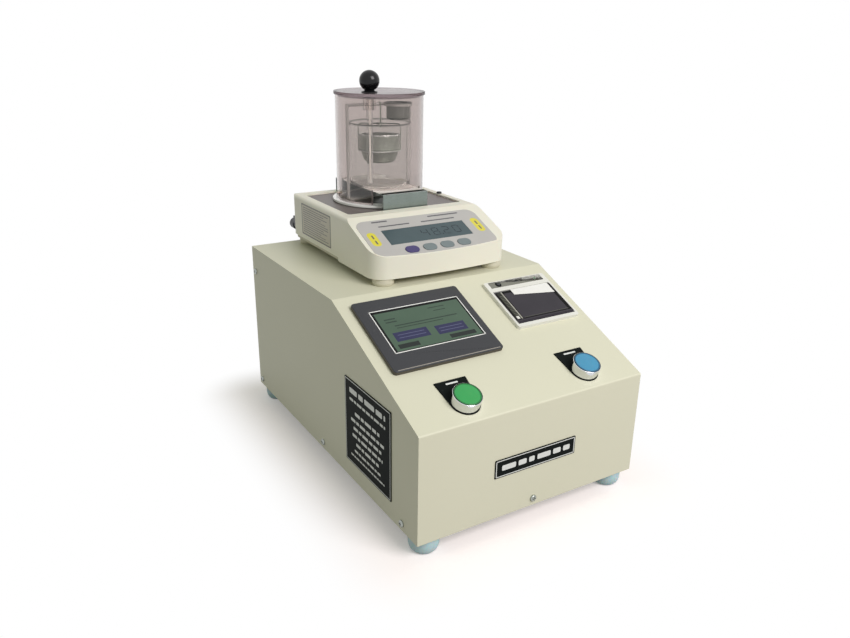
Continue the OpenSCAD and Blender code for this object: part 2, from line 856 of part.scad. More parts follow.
module printer_feed_key() {
    color("#24262A")
    on_slope(prn_x + feed_at[0], prn_s + feed_at[1])
        translate([0, 0, -6 + feed_travel + SOFT_GAP])
            cylinder(h = 6 + prn_t, d = feed_key_d);
}

// ---------------------------------------------------------------- buttons

neck_d = button_hole_d - 0.4;
neck_len = 16;
stem_r = 6.5;
cap_floor = 2;                 // floor of the bezel's bore, above the legend
contact_w = 24;                // width of a button's switch block
contact_h = 34;                // depth of a button's switch block

module button_cap(x, tint) {
    color(tint)
    on_slope(x, button_s) translate([0, 0, legend_t]) {
        translate([0, 0, cap_floor + button_travel + SOFT_GAP])
            cylinder(h = bezel_h + 0.6 - cap_floor - button_travel - SOFT_GAP, d = cap_d);
        translate([0, 0, -neck_len - legend_t])
            cylinder(h = neck_len + legend_t + cap_floor + button_travel + 1, r = stem_r);
    }
}

module start_cap() {
    button_cap(start_x, "#43AA5F");
}

module accept_cap() {
    button_cap(accept_x, "#4F9DC4");
}

module button_bezels() {
    color("#D4D6D8")
    for (x = [start_x, accept_x])
        on_slope(x, button_s) translate([0, 0, legend_t]) difference() {
            union() {
                rotate_extrude() polygon([[0, 0], [bezel_d / 2, 0],
                    [bezel_d / 2, bezel_h - 0.4], [bezel_d / 2 - 0.4, bezel_h],
                    [0, bezel_h]]);
                translate([0, 0, -neck_len - legend_t])
                    cylinder(h = neck_len + legend_t + CUT, d = neck_d);
            }
            translate([0, 0, cap_floor])
                cylinder(h = bezel_h, d = cap_d + 2 * cap_gap);
            translate([0, 0, -neck_len - legend_t - CUT])
                cylinder(h = neck_len + bezel_h, r = stem_r + cap_gap);
        }
}

module legend_plates() {
    color("#1B1C1E")
    for (x = [start_x, accept_x])
        on_slope(x, button_s) linear_extrude(legend_t) difference() {
            union() {
                circle(legend_r);
                polygon([[-legend_r, 0], [legend_r, 0], [legend_w / 2, legend_up],
                         [-legend_w / 2, legend_up]]);
            }
            circle(d = button_hole_d);
        }
}

module button_nuts() {
    color("#A9ACAE")
    for (x = [start_x, accept_x])
        on_slope(x, button_s) translate([0, 0, -sheet_t - 5])
            ring(button_hole_d + 5.6, neck_d + 0.2, 5);
}

module contact_blocks() {
    color("#3B3D40")
    for (x = [start_x, accept_x])
        on_slope(x, button_s) translate([0, 0, -neck_len - contact_h]) difference() {
            block(contact_w, contact_w + 6, contact_h);
            translate([0, 0, contact_h - button_travel - 2])
                cylinder(h = 20, r = stem_r + cap_gap);
        }
}

// ---------------------------------------------------------------- electronics

chip_w = 28;                   // width of the board's main chip
capacitor_d = 8;               // diameter of its capacitors

module controller_board() {
    color("#2F6B45")
    at_case() translate([board_at[0], board_at[1], sheet_t + standoff_h])
        difference() {
            union() {
                block(board_w, board_d, 1.6);
                translate([-board_w * 0.13, board_d * 0.09, 1.6 - EPS])
                    block(chip_w, chip_w, 3);
                translate([board_w * 0.23, -board_d * 0.14, 1.6 - EPS])
                    block(chip_w * 0.6, chip_w * 0.8, chip_w / 2);
                translate([-board_w * 0.42, 0, 1.6 - EPS])
                    block(board_w * 0.08, board_d * 0.6, chip_w * 0.4);
                translate([0, board_d * 0.41, 1.6 - EPS])
                    block(board_w / 2, board_d * 0.08, chip_w / 3);
                for (i = [0:3])
                    translate([board_w * 0.25 + capacitor_d * 1.15 * (i % 2),
                               board_d * 0.14 + capacitor_d * 1.3 * floor(i / 2),
                               1.6 - EPS])
                        cylinder(h = 2 * capacitor_d, d = capacitor_d);
            }
            for (p = board_holes)
                translate([p[0] - board_at[0], p[1] - board_at[1], -CUT])
                    cylinder(h = 4, d = 3.4);
        }
}

module power_supply() {
    color("#B4B6B4")
    at_case() translate([psu_at[0], psu_at[1], sheet_t]) difference() {
        block(psu_w, psu_d, psu_h);
        // terminal strip's recess at the front
        translate([0, -psu_d / 2, psu_h * 0.58])
            block(psu_w - 8, psu_d * 0.23, psu_h);
        for (i = [-3:3])
            translate([i * psu_w * 0.11, psu_d * 0.15, psu_h - 1])
                rplate(4, psu_d * 0.46, 4, 1.9);
    }
}

rocker_x = power_w / 2 - 14;   // rocker's place in the power entry
inlet_x = -8;                  // inlet's place in the power entry

module power_entry() {
    color("#202224")
    at_rear(power_x, rear_conn_z) rotate([-90, 0, 0]) difference() {
        union() {
            rplate(power_w, power_h, 3, 3);
            translate([0, 0, -28]) block(power_w - 15, power_h - 9, 29);
        }
        // mains inlet's socket with its three blades left standing
        translate([inlet_x, 0, -17]) difference() {
            block(25, 17, 30);
            for (i = [-1:1])
                translate([i * 7, i == 0 ? 3 : -2, -CUT]) block(2, 4.4, 15);
        }
        translate([rocker_x, 0, -6]) block(12.6, 19.6, 12);
    }
}

module power_rocker() {
    color("#1A1B1D")
    at_rear(power_x + rocker_x, rear_conn_z) translate([0, 1.6, 0])
        rotate([rocker_tilt, 0, 0]) difference() {
            union() {
                rotate([0, 90, 0]) translate([0, 0, -6]) cylinder(h = 12, d = 6);
                translate([0, 1.6, 0]) rotate([-90, 0, 0]) translate([0, 0, -3])
                    block(12, 16.4, 4);
            }
            // finger hollows on both halves
            for (z = [-1, 1])
                translate([-10, 17.5, z * 5]) rotate([0, 90, 0])
                    cylinder(h = 20, r = 15.6);
        }
}

module data_connector() {
    color("#B9BCBE")
    at_rear(data_x, rear_conn_z) rotate([-90, 0, 0]) difference() {
        union() {
            rplate(31, 12.6, 1, 2);
            translate([0, 0, -10]) block(19.4, 10.4, 15);
            for (x = [-1, 1])
                translate([x * 12.5, 0, 0]) cylinder(h = 5, d = 4.8);
        }
        translate([0, 0, -4]) block(17, 8, 15);
        for (x = [-1, 1])
            translate([x * 12.5, 0, -CUT]) cylinder(h = 8, d = 2.9);
    }
}

// ---------------------------------------------------------------- balance

// Side outline of the housing, shrunk by one wall where inner is true. It starts
// before the housing's front, which the plan below cuts to its bow
function housing_outline(inner) =
    let (t = inner ? bal_wall : 0,
         low = inner ? -CUT : 0,
         top = inner ? pocket_z - bal_wall : bal_h,
         drop = t / cos(bal_slope_a),
         lip = lip_z - drop - CUT * tan(bal_slope_a),
         ridge = inner ? (top - lip_z + drop) / tan(bal_slope_a) : ridge_y)
    rounded([[-CUT, skirt_z + low], [-CUT, lip], [ridge, top],
             [bal_d - t, top], [bal_d - t, skirt_z + low]],
            inner ? [0, 0, 0, 8, 0] : [0, 0, 4, 11, 0]);

// Centre of the front corners' rounding, where it runs into the bow
corner_x = bal_w / 2 - bal_r;
corner_y = bow_r - sqrt(pow(bow_r - bal_r, 2) - pow(corner_x, 2)) - 0.1;

// Upright column with the housing's plan, shrunk by t
module housing_plan(t) {
    intersection() {
        linear_extrude(bal_h + 20) {
            translate([-corner_x, -CUT]) square([2 * corner_x, bal_d - t + CUT]);
            translate([t - bal_w / 2, corner_y])
                square([bal_w - 2 * t, bal_d - bal_r - corner_y]);
            for (x = [-corner_x, corner_x])
                for (y = [corner_y, bal_d - bal_r])
                    translate([x, y]) circle(bal_r - t);
        }
        translate([0, bow_r, 0]) cylinder(h = bal_h + 20, r = bow_r - t, $fn = 360);
    }
}

// Prism along Y that rounds the housing's upper side edges
module crown_section() {
    translate([0, bal_d + CUT, 0]) rotate([90, 0, 0]) linear_extrude(bal_d + 3 * CUT)
        polygon(rounded([[-bal_w / 2, 0], [-bal_w / 2, bal_h],
                         [bal_w / 2, bal_h], [bal_w / 2, 0]],
                        [0, crown_r, crown_r, 0]));
}

rib_z = skirt_z + 2.5;         // top of the base plate inside the housing
cell_z = rib_z + 4;
cell_t = 28;                   // height of the weigh cell
cell_l = 110;                  // length of the weigh cell
cell_y = -20;                  // middle of the weigh cell from the pan's axis
cell_top_z = cell_z + cell_t;
socket_l = 6;                  // reach of the pan's stem into the weigh cell

module balance_housing() {
    color("#E3DFC9")
    difference() {
        at_balance() difference() {
            intersection() {
                side_prism(housing_outline(false), bal_w);
                housing_plan(0);
                crown_section();
            }
            intersection() {
                side_prism(housing_outline(true), bal_w);
                translate([0, 0, -5]) housing_plan(bal_wall);
            }
            // the skirt is cut higher behind the front part
            translate([-bal_w, 104, 0]) cube([2 * bal_w, bal_d, skirt_rear_z]);
            // pocket for the deck plate
            translate([0, deck_y + deck_d / 2, pocket_z])
                rplate(deck_w + 2 * fold_gap, deck_d + 2 * fold_gap, 20, 4);
            translate([0, pan_y, 0]) cylinder(h = 100, d = stem_d + 10);
            // openings in the rear wall
            translate([conn_at[0], bal_d - 8, conn_at[1] - conn_h / 2 - fold_gap])
                block(conn_w + 2 * fold_gap, 16.4, conn_h + 2 * fold_gap);
        }
        on_fascia(fascia_shift, lcd_s) translate([0, 0, -10])
            block(lcd_w - 4, lcd_h - 4, 20);
        for (i = [0:3])
            on_fascia(key_x(i), key_s) translate([0, 0, -10])
                linear_extrude(20) oval(key_w + 2 * SOFT_GAP, key_h + 2 * SOFT_GAP);
    }
}

// Place of key i across the fascia
function key_x(i) = fascia_shift + (i - 1.5) * key_pitch;

base_in = bal_wall + fold_gap;  // inset of the base plate from the housing
lev_places = [[-lev_x, lev_front_y], [lev_x, lev_front_y],
              [-lev_x, lev_rear_y], [lev_x, lev_rear_y]];

module balance_base() {
    color("#D8D4BE")
    at_balance() difference() {
        union() {
            intersection() {
                housing_plan(base_in);
                // plate, with an upstand that closes the rear part below the housing
                difference() {
                    translate([-bal_w, 0, skirt_z])
                        cube([2 * bal_w, 2 * bal_d, skirt_rear_z + 3 - skirt_z]);
                    translate([0, 0, rib_z]) housing_plan(base_in + 2);
                }
            }
            for (p = lev_places)
                translate([p[0], p[1], skirt_z])
                    cylinder(h = 9, d = lev_stem_d + 7);
            // pad under the fixed end of the weigh cell
            translate([0, pan_y + cell_y - cell_l / 2 + 14, rib_z - EPS])
                block(24, 24, cell_z - rib_z + EPS);
        }
        for (p = lev_places)
            translate([p[0], p[1], skirt_z - CUT])
                cylinder(h = 9 + 2 * CUT, d = lev_stem_d + 0.1);
    }
}

module balance_deck() {
    color("#6E6468")
    at_balance() difference() {
        translate([0, deck_y + deck_d / 2, pocket_z])
            rplate(deck_w, deck_d, deck_t, 3.5);
        translate([0, pan_y, 0]) cylinder(h = 100, d = stem_d + 6);
    }
}

module balance_fascia() {
    color("#C4C4C0")
    difference() {
        intersection() {
            on_fascia(fascia_shift, fascia_s) rplate(fascia_w, fascia_h, fascia_t, 13);
            at_balance() housing_plan(fascia_low);
        }
        on_fascia(fascia_shift, lcd_s) translate([0, 0, -CUT])
            block(lcd_w, lcd_h, 4);
        for (i = [0:3])
            on_fascia(key_x(i), key_s) translate([0, 0, -CUT])
                linear_extrude(4) oval(key_w + 2 * SOFT_GAP, key_h + 2 * SOFT_GAP);
    }
}

module balance_lcd() {
    color("#4E6168")
    on_fascia(fascia_shift, lcd_s) {
        block(lcd_w - 2 * fold_gap, lcd_h - 2 * fold_gap, fascia_t - 0.1);
        translate([0, 0, -5]) block(lcd_w - 5, lcd_h - 5, 5 + EPS);
    }
}

module balance_key(i) {
    color(i == 0 ? "#4A3A82" : "#8C9898")
    on_fascia(key_x(i), key_s) translate([0, 0, -4])
        linear_extrude(4 + fascia_t + 0.9) oval(key_w, key_h);
}

module levelling_foot(i) {
    color("#D9D6C8")
    at_balance() translate([lev_places[i][0], lev_places[i][1], 0]) {
        rotate_extrude() polygon(rounded(
            [[0, 0], [lev_d / 2 - 1, 0], [lev_d / 2, lev_h * 0.4],
             [lev_d / 2 - 1, lev_h], [0, lev_h]], [0, 1, 2, 1, 0]));
        translate([0, 0, lev_h - EPS]) cylinder(h = 9, d = lev_stem_d);
    }
}

module bubble_level() {
    color("#3A4038")
    at_balance() translate([(deck_w + bal_w) / 4 - crown_r / 2, pan_y - 14, bal_h]) {
        ring(bubble_d, bubble_d - 2, 2.4);
        cylinder(h = 1.6, d = bubble_d - 2 + EPS);
    }
}

module weigh_cell() {
    color("#A7AAAC")
    at_pan() difference() {
        translate([0, cell_y, cell_z]) block(26, cell_l, cell_t);
        // flexure windows of the parallel guide, joined by a slot
        for (y = [cell_y - 28, cell_y])
            translate([-13 - CUT, y, cell_z + cell_t / 2]) rotate([0, 90, 0])
                cylinder(h = 26 + 2 * CUT, d = 18);
        translate([-13 - CUT, cell_y - 28, cell_z + cell_t / 2 - 3])
            cube([26 + 2 * CUT, 28, 6]);
        // socket of the pan's stem
        translate([0, 0, cell_top_z - socket_l - CUT])
            cylinder(h = socket_l + 2 * CUT, d = stem_d + 2 * screw_gap);
    }
}

module pan_support() {
    color("#B9BCBE")
    at_pan() {
        translate([0, 0, cell_top_z - socket_l])
            cylinder(h = pan_z - cell_top_z + socket_l, d = stem_d);
        translate([0, 0, pan_z - 2]) cylinder(h = 2, d = stem_d + 4);
    }
}

module weighing_pan() {
    color("#9A9C9C")
    at_pan() translate([0, 0, pan_z]) cylinder(h = pan_t, d = pan_d);
}

// Power jack and data socket in a block in the housing's rear wall
module balance_connectors() {
    color("#4A4D50")
    at_balance() translate([conn_at[0], bal_d, conn_at[1]]) {
        translate([0, -8, -conn_h / 2]) block(conn_w, 16, conn_h);
        // collar of the power jack
        translate([-10, -EPS, -6]) rotate([-90, 0, 0]) difference() {
            cylinder(h = conn_out + EPS, d = 16);
            translate([0, 0, 2]) cylinder(h = conn_out, d = 10);
        }
        translate([8, -EPS, 0]) rotate([-90, 0, 0]) difference() {
            block(14, 10, 8 + EPS);
            translate([0, 0, 1.5]) block(11, 7, 8);
        }
    }
}

// ---------------------------------------------------------------- shield

ring_in_d = shield_d - 2 * shield_wall - 2;
ring_foot_h = 1.2;
lip_h = 1.5;

module shield_ring() {
    color("#E6E6E2")
    at_pan() {
        translate([0, 0, deck_z]) ring(ring_d - 5, ring_in_d, ring_foot_h);
        translate([0, 0, deck_z + ring_foot_h - EPS])
            ring(ring_d, ring_in_d, ring_h - ring_foot_h + EPS);
        translate([0, 0, ring_top_z - EPS])
            ring(2 * (shield_in_r - SOFT_GAP), ring_in_d, lip_h + EPS);
    }
}

module shield_cylinder() {
    color("#D8D0D2", 0.35)
    at_pan() difference() {
        translate([0, 0, ring_top_z]) ring(shield_d, 2 * shield_in_r, shield_h);
        // notches for the bridge, front and rear
        translate([0, 0, ring_top_z - CUT])
            block(bridge_w + 4, shield_d + 2 * CUT, table_z + 2 - ring_top_z + CUT);
    }
}

module shield_lid() {
    color("#8F8484", 0.8)
    at_pan() {
        translate([0, 0, lid_z]) cylinder(h = lid_t, d = lid_d);
        translate([0, 0, lid_z - lid_plug])
            cylinder(h = lid_plug + EPS, r = shield_in_r - SOFT_GAP);
    }
}

module at_knob() {
    at_pan() translate([knob_at[0], knob_at[1], 0]) children();
}

module lid_knob() {
    color("#15151A")
    at_knob() {
        translate([0, 0, lid_top_z]) cylinder(h = knob_seat_h, d1 = 21, d2 = 14);
        translate([0, 0, lid_top_z + knob_seat_h + knob_d / 2 - 1.5]) sphere(d = knob_d);
    }
}

bush_z = lid_z - lid_plug - bush_len;

module thermometer_bush() {
    color("#9C9396")
    at_knob() translate([0, 0, bush_z])
        ring(bush_d, thermo_d + 2 * fold_gap, bush_len);
}

thermo_z = table_z + 5;

module thermometer() {
    color("#DCE4E2", 0.6)
    at_knob() {
        translate([0, 0, thermo_z + thermo_d / 2])
            cylinder(h = lid_z - lid_plug - thermo_z - thermo_d / 2, d = thermo_d);
        translate([0, 0, thermo_z + thermo_d / 2]) sphere(d = thermo_d);
    }
}

// ---------------------------------------------------------------- kit

module bridge() {
    color("#6C7A75")
    at_pan() {
        translate([0, 0, table_z - bridge_t]) block(bridge_w, bridge_l, bridge_t);
        translate([0, -bridge_l / 2 + bridge_t / 2, deck_z])
            block(bridge_w, bridge_t, bridge_h);
        // the rear leg stands on the housing's rear rim
        translate([0, bridge_l / 2 - bridge_t / 2, bal_h])
            block(bridge_w, bridge_t, table_z - bal_h);
    }
}

// Wall outline of the beaker [r, z]
function beaker_outline() =
    let (r = beaker_d / 2, t = beaker_wall)
    concat([[0, 0]],
        [for (a = [-90:15:0]) [r - 7 + 7 * cos(a), 7 + 7 * sin(a)]],
        [[r, beaker_h - 3], [r + 1.2, beaker_h - 1], [r + 0.6, beaker_h],
         [r - t, beaker_h - 1.5]],
        [for (a = [0:-15:-90]) [r - t - 6 + 6 * cos(a), t + 6 + 6 * sin(a)]],
        [[0, t]]);

module beaker() {
    color("#DDE8E6", 0.3)
    at_pan() translate([0, 0, table_z]) rotate_extrude() polygon(beaker_outline());
}

hoop_in_d = dish_d + 0.6;

module weighing_frame() {
    color("#A8ADAB")
    at_pan() difference() {
        union() {
            translate([0, 0, pan_top_z])
                rplate(2 * upright_x + rod_d + 1, 14, 2, 3);
            for (x = [-1, 1])
                translate([x * upright_x, 0, pan_top_z + 1])
                    cylinder(h = crossbar_up - 1 + rod_d / 2, d = rod_d);
            translate([0, 0, crossbar_z])
                rod_x(-upright_x, dish_at[0] - dish_d / 4, bar_d);
            translate([0, 0, crossbar_z])
                rod_x(dish_at[0] + dish_d / 4, upright_x, bar_d);
            translate([dish_at[0], dish_at[1], crossbar_z - 1.5])
                cylinder(h = 3, d = hoop_in_d + 5);
        }
        translate([dish_at[0], dish_at[1], crossbar_z - 10])
            cylinder(h = 20, d = hoop_in_d);
        // seat of the dish's rim in the crossbar's two ends
        translate([dish_at[0], dish_at[1], crossbar_z + 1.5])
            cylinder(h = 10, d = dish_d + 5.2);
    }
}

// Wall outline of the upper dish [r, z] from its rim's underside
function dish_outline() =
    let (r = dish_d / 2, t = 1)
    concat([[0, -dish_h]],
        [for (a = [-90:18:0]) [r - 4 + 4 * cos(a), -dish_h + 4 + 4 * sin(a)]],
        [[r, 0], [r + 2.3, 0], [r + 2.3, 1.2], [r - t, 1.2]],
        [for (a = [0:-18:-90]) [r - t - 3 + 3 * cos(a), -dish_h + t + 3 + 3 * sin(a)]],
        [[0, -dish_h + t]]);

module upper_dish() {
    color("#A3AAA8")
    at_pan() translate([dish_at[0], dish_at[1], crossbar_z + 1.5])
        rotate_extrude() polygon(dish_outline());
}

// Wall outline of the basket [r, z] from its floor's underside
function basket_outline() =
    let (r0 = basket_floor_d / 2, r1 = basket_d / 2, rf = r1 - 0.8, t = 1.2,
         ri = r0 - t)
    concat([[0, 0]],
        [for (a = [-90:18:-18]) [r0 - 4 + 4 * cos(a), 4 + 4 * sin(a)]],
        [[rf, flange_up - 0.8], [basket_flange_d / 2, flange_up - 0.8],
         [basket_flange_d / 2, flange_up + 0.8], [rf, flange_up + 0.8],
         [r1, basket_h], [r1 - t, basket_h], [rf - t, flange_up]],
        [for (a = [-18:-18:-90]) [ri - 3 + 3 * cos(a), t + 3 + 3 * sin(a)]],
        [[0, t]]);

bar_d = rod_d - 0.4;           // diameter of the crossbar
hook_r = bar_d / 2 + SOFT_GAP + wire_d / 2;
hook_z = crossbar_z - SOFT_GAP / 2;
bail_r = 4;                    // bend of the bail's corners
bail_x = basket_d / 2 + wire_d / 2 + 0.1;

module basket() {
    color("#8F9A98")
    at_pan() {
        translate([0, 0, basket_z]) rotate_extrude() polygon(basket_outline());
        rotate([0, 0, bail_turn]) {
            for (side = [0, 180]) rotate([0, 0, side]) {
                translate([bail_x, 0, basket_z + flange_up])
                    cylinder(h = bail_z - bail_r - basket_z - flange_up, d = wire_d);
                translate([bail_x - bail_r, 0, bail_z - bail_r]) rotate([90, 0, 0])
                    rotate_extrude(angle = 90) translate([bail_r, 0])
                        circle(d = wire_d, $fn = 24);
                translate([0, 0, bail_z]) rod_x(0, bail_x - bail_r, wire_d);
            }
        }
        // hub, and the stem up to the hook over the crossbar
        translate([0, 0, bail_z - 1.2]) cylinder(h = 2.4, r = hook_r + wire_d);
        translate([0, -hook_r, bail_z]) cylinder(h = hook_z - bail_z, d = wire_d);
        translate([0, 0, hook_z]) rotate([90, 0, 90])
            rotate_extrude(angle = 180) translate([hook_r, 0])
                circle(d = wire_d, $fn = 24);
        translate([0, hook_r, hook_z - 2.5]) cylinder(h = 2.5, d = wire_d);
    }
}

// ---------------------------------------------------------------- drawing

housing_cover();
base_tray();
rear_panel();
case_screws();
rubber_feet();
front_nameplate();
side_plate();
hmi_bezel();
hmi_screen();
hmi_rear_case();
hmi_clamps();
printer_frame();
printer_body();
print_head();
printer_door();
printer_hinge_pin();
printer_platen();
paper_roll();
paper_tongue();
printer_feed_key();
start_cap();
accept_cap();
button_bezels();
legend_plates();
button_nuts();
contact_blocks();
controller_board();
power_supply();
power_entry();
power_rocker();
data_connector();
balance_base();
balance_housing();
balance_deck();
balance_fascia();
balance_lcd();
balance_key(0);  // balance_key_1
balance_key(1);  // balance_key_2
balance_key(2);  // balance_key_3
balance_key(3);  // balance_key_4
levelling_foot(0);  // levelling_foot_1
levelling_foot(1);  // levelling_foot_2
levelling_foot(2);  // levelling_foot_3
levelling_foot(3);  // levelling_foot_4
bubble_level();
weigh_cell();
pan_support();
weighing_pan();
balance_connectors();
shield_ring();
shield_cylinder();
shield_lid();
lid_knob();
thermometer_bush();
thermometer();
bridge();
beaker();
weighing_frame();
upper_dish();
basket();
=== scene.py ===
"""The looks of a benchtop density meter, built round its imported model.

A sloped console carries a touch panel, a ticket printer and two push buttons.
A balance with a clear draught shield and a hydrostatic weighing kit stands on
its top. Sizes are in millimetres and are turned to metres where a mesh is made.
"""

import json
import logging
import math
from dataclasses import dataclass
from enum import Enum
from typing import Callable, Sequence

import bpy
from mathutils import Matrix, Vector

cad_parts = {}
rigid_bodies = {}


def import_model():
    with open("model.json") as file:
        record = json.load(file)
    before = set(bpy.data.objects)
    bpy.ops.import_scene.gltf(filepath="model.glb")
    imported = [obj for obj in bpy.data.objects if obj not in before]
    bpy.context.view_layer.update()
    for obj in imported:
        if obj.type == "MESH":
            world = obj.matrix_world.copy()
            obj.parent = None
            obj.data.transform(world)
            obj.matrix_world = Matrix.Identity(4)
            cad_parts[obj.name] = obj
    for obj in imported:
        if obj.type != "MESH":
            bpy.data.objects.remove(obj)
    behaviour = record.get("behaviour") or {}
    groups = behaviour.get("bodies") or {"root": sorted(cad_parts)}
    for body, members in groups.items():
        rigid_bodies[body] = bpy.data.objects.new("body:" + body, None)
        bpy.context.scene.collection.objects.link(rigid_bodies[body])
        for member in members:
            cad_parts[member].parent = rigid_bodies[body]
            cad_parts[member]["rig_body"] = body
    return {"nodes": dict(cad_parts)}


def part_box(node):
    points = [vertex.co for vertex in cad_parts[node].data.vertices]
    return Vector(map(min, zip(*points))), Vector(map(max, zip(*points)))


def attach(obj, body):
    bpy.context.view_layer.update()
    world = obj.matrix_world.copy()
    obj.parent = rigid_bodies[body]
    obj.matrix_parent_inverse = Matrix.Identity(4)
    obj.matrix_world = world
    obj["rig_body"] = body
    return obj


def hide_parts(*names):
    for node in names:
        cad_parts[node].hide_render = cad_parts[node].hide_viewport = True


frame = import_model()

LOG = logging.getLogger("density_meter")
MM = 0.001

Point = tuple[float, float, float]
Flat = tuple[float, float]
Setting = object
Piece = bpy.types.Object
Tree = bpy.types.NodeTree
Socket = bpy.types.NodeSocket


# ---------------------------------------------------------------- nodes


def linear(colour: str) -> tuple[float, float, float, float]:
    """Turns an sRGB hex colour to the linear values that a socket takes.

    Args:
        colour: the colour as "#RRGGBB".

    Returns:
        The linear red, green, blue and an alpha of 1.
    """
    values = [int(colour[i : i + 2], 16) / 255 for i in (1, 3, 5)]
    red, green, blue = (
        v / 12.92 if v <= 0.04045 else ((v + 0.055) / 1.055) ** 2.4 for v in values
    )
    return red, green, blue, 1.0


def empty_tree(owner: bpy.types.ID) -> Tree:
    """Gives a material or a world a node tree with nothing in it."""
    owner.use_nodes = True
    owner.node_tree.nodes.clear()
    return owner.node_tree


def add_node(
    tree: Tree,
    kind: str,
    inputs: dict[str | int, Setting] | None = None,
    **settings: Setting,
) -> bpy.types.Node:
    """Adds a shader node with its settings and what feeds it.

    Args:
        tree: the node tree of the material or the world.
        kind: Blender's name of the node, without its "ShaderNode".
        inputs: a constant or an output socket for each named input.
        settings: the node's own properties.

    Returns:
        The new node.
    """
    node = tree.nodes.new(f"ShaderNode{kind}")
    for name, value in settings.items():
        setattr(node, name, value)
    for name, value in (inputs or {}).items():
        if isinstance(value, Socket):
            tree.links.new(value, node.inputs[name])
        else:
            node.inputs[name].default_value = value
    return node


def noise(tree: Tree, place: Socket, size_mm: float, detail: float) -> Socket:
    """Adds a noise texture with spots of a size and gives its value."""
    scale = 1 / (size_mm * MM)
    node = add_node(tree, "TexNoise", {"Vector": place, "Scale": scale, "Detail": detail})
    return node.outputs["Fac"]


def ranged(
    tree: Tree, value: Socket, source: Flat, target: Flat = (0.0, 1.0), kind: str = "LINEAR"
) -> Socket:
    """Adds a Map Range node.

    Args:
        tree: the node tree.
        value: what it maps.
        source: the lowest and the highest value that come in.
        target: what these two become.
        kind: how the values between them are found.

    Returns:
        The mapped value.
    """
    names = ("From Min", "From Max", "To Min", "To Max")
    inputs = {"Value": value, **dict(zip(names, (*source, *target)))}
    return add_node(tree, "MapRange", inputs, interpolation_type=kind).outputs[0]


def blended(tree: Tree, share: Socket, first: str, second: str) -> Socket:
    """Adds a mix of two sRGB hex colours and gives the colour."""
    inputs = {0: share, 6: linear(first), 7: linear(second)}
    return add_node(tree, "Mix", inputs, data_type="RGBA").outputs[2]


def combined(tree: Tree, operation: str, first: Socket, second: Setting) -> Socket:
    """Adds a Math node for two values and gives its result."""
    return add_node(tree, "Math", {0: first, 1: second}, operation=operation).outputs[0]


def shown_rays(tree: Tree) -> Socket:
    """Gives 1 for a ray that the picture shows and 0 for one that only lights."""
    path = add_node(tree, "LightPath").outputs
    seen = combined(tree, "MAXIMUM", path["Is Camera Ray"], path["Is Glossy Ray"])
    return combined(tree, "MAXIMUM", seen, path["Is Transmission Ray"])


# ---------------------------------------------------------------- materials


class Grain(Enum):
    """How the surface was made, which sets the direction of its fine pattern."""

    EVEN = (1.0, 1.0, 1.0)
    ALONG_X = (0.04, 1.0, 1.0)
    ALONG_Y = (1.0, 0.04, 1.0)


@dataclass(frozen=True)
class Surface:
    """What all finishes share: a name, a colour and a way to become a material."""

    name: str
    colour: str

    def material(self) -> bpy.types.Material:
        """Makes the material, or finds it where it was made before.

        Returns:
            The material that carries this finish.
        """
        found = bpy.data.materials.get(self.name)
        if found is not None:
            return found
        made = bpy.data.materials.new(self.name)
        self.fill(empty_tree(made))
        made.diffuse_color = linear(self.colour)
        return made

    def fill(self, tree: Tree) -> None:
        """Adds the nodes of the finish, which each kind does in its own way."""
        raise NotImplementedError


@dataclass(frozen=True)
class Finish(Surface):
    """An opaque surface: its two tones, its gloss and the grain of its making.

    A low ior stands for a surface whose highlights are weak.
    """

    roughness: float
    shade: str
    drift_mm: float
    grain_mm: float
    depth_mm: float = 0.0
    grain: Grain = Grain.EVEN
    gloss_spread: float = 0.06
    metallic: float = 0.0
    ior: float = 1.5
    coat: float = 0.0
    soak: float = 0.0

    def fill(self, tree: Tree) -> None:
        """Adds a slow change of tone, a fine grain and the gloss that goes with it."""
        place = add_node(tree, "TexCoord").outputs["Object"]
        cloud = noise(tree, place, self.drift_mm, 3.0)
        along = add_node(tree, "Mapping", {"Vector": place, "Scale": self.grain.value})
        fine = noise(tree, along.outputs[0], self.grain_mm, 2.0)
        gloss = (
            max(self.roughness - self.gloss_spread, 0.02),
            min(self.roughness + self.gloss_spread, 1.0),
        )
        inputs: dict[str | int, Setting] = {
            "Base Color": blended(tree, cloud, self.colour, self.shade),
            "Metallic": self.metallic,
            "Roughness": ranged(tree, fine, (0.3, 0.7), gloss),
            "IOR": self.ior,
            "Coat Weight": self.coat,
            "Subsurface Weight": self.soak,
            "Subsurface Scale": 0.01,
        }
        if self.depth_mm:
            relief = {"Height": fine, "Distance": self.depth_mm * MM, "Strength": 1.0}
            inputs["Normal"] = add_node(tree, "Bump", relief).outputs[0]
        shader = add_node(tree, "BsdfPrincipled", inputs)
        add_node(tree, "OutputMaterial", {"Surface": shader.outputs[0]})


@dataclass(frozen=True)
class ClearFinish(Surface):
    """A clear surface, such as glass or acrylic, with its tint and faint marks."""

    ior: float
    roughness: float = 0.02
    smear_mm: float = 25.0
    depth_tint: str = ""
    density: float = 0.0

    def fill(self, tree: Tree) -> None:
        """Adds a clear shader with wipe marks in its gloss, and a depth colour."""
        place = add_node(tree, "TexCoord").outputs["Object"]
        smear = noise(tree, place, self.smear_mm, 4.0)
        gloss = (self.roughness, self.roughness + 0.05)
        inputs = {
            "Base Color": linear(self.colour),
            "Roughness": ranged(tree, smear, (0.4, 0.8), gloss),
            "IOR": self.ior,
            "Transmission Weight": 1.0,
        }
        ends = {"Surface": add_node(tree, "BsdfPrincipled", inputs).outputs[0]}
        if self.depth_tint:
            # colour that grows with the depth of material, so edges look darker
            depth = {"Color": linear(self.depth_tint), "Density": self.density}
            ends["Volume"] = add_node(tree, "VolumeAbsorption", depth).outputs[0]
        add_node(tree, "OutputMaterial", ends)


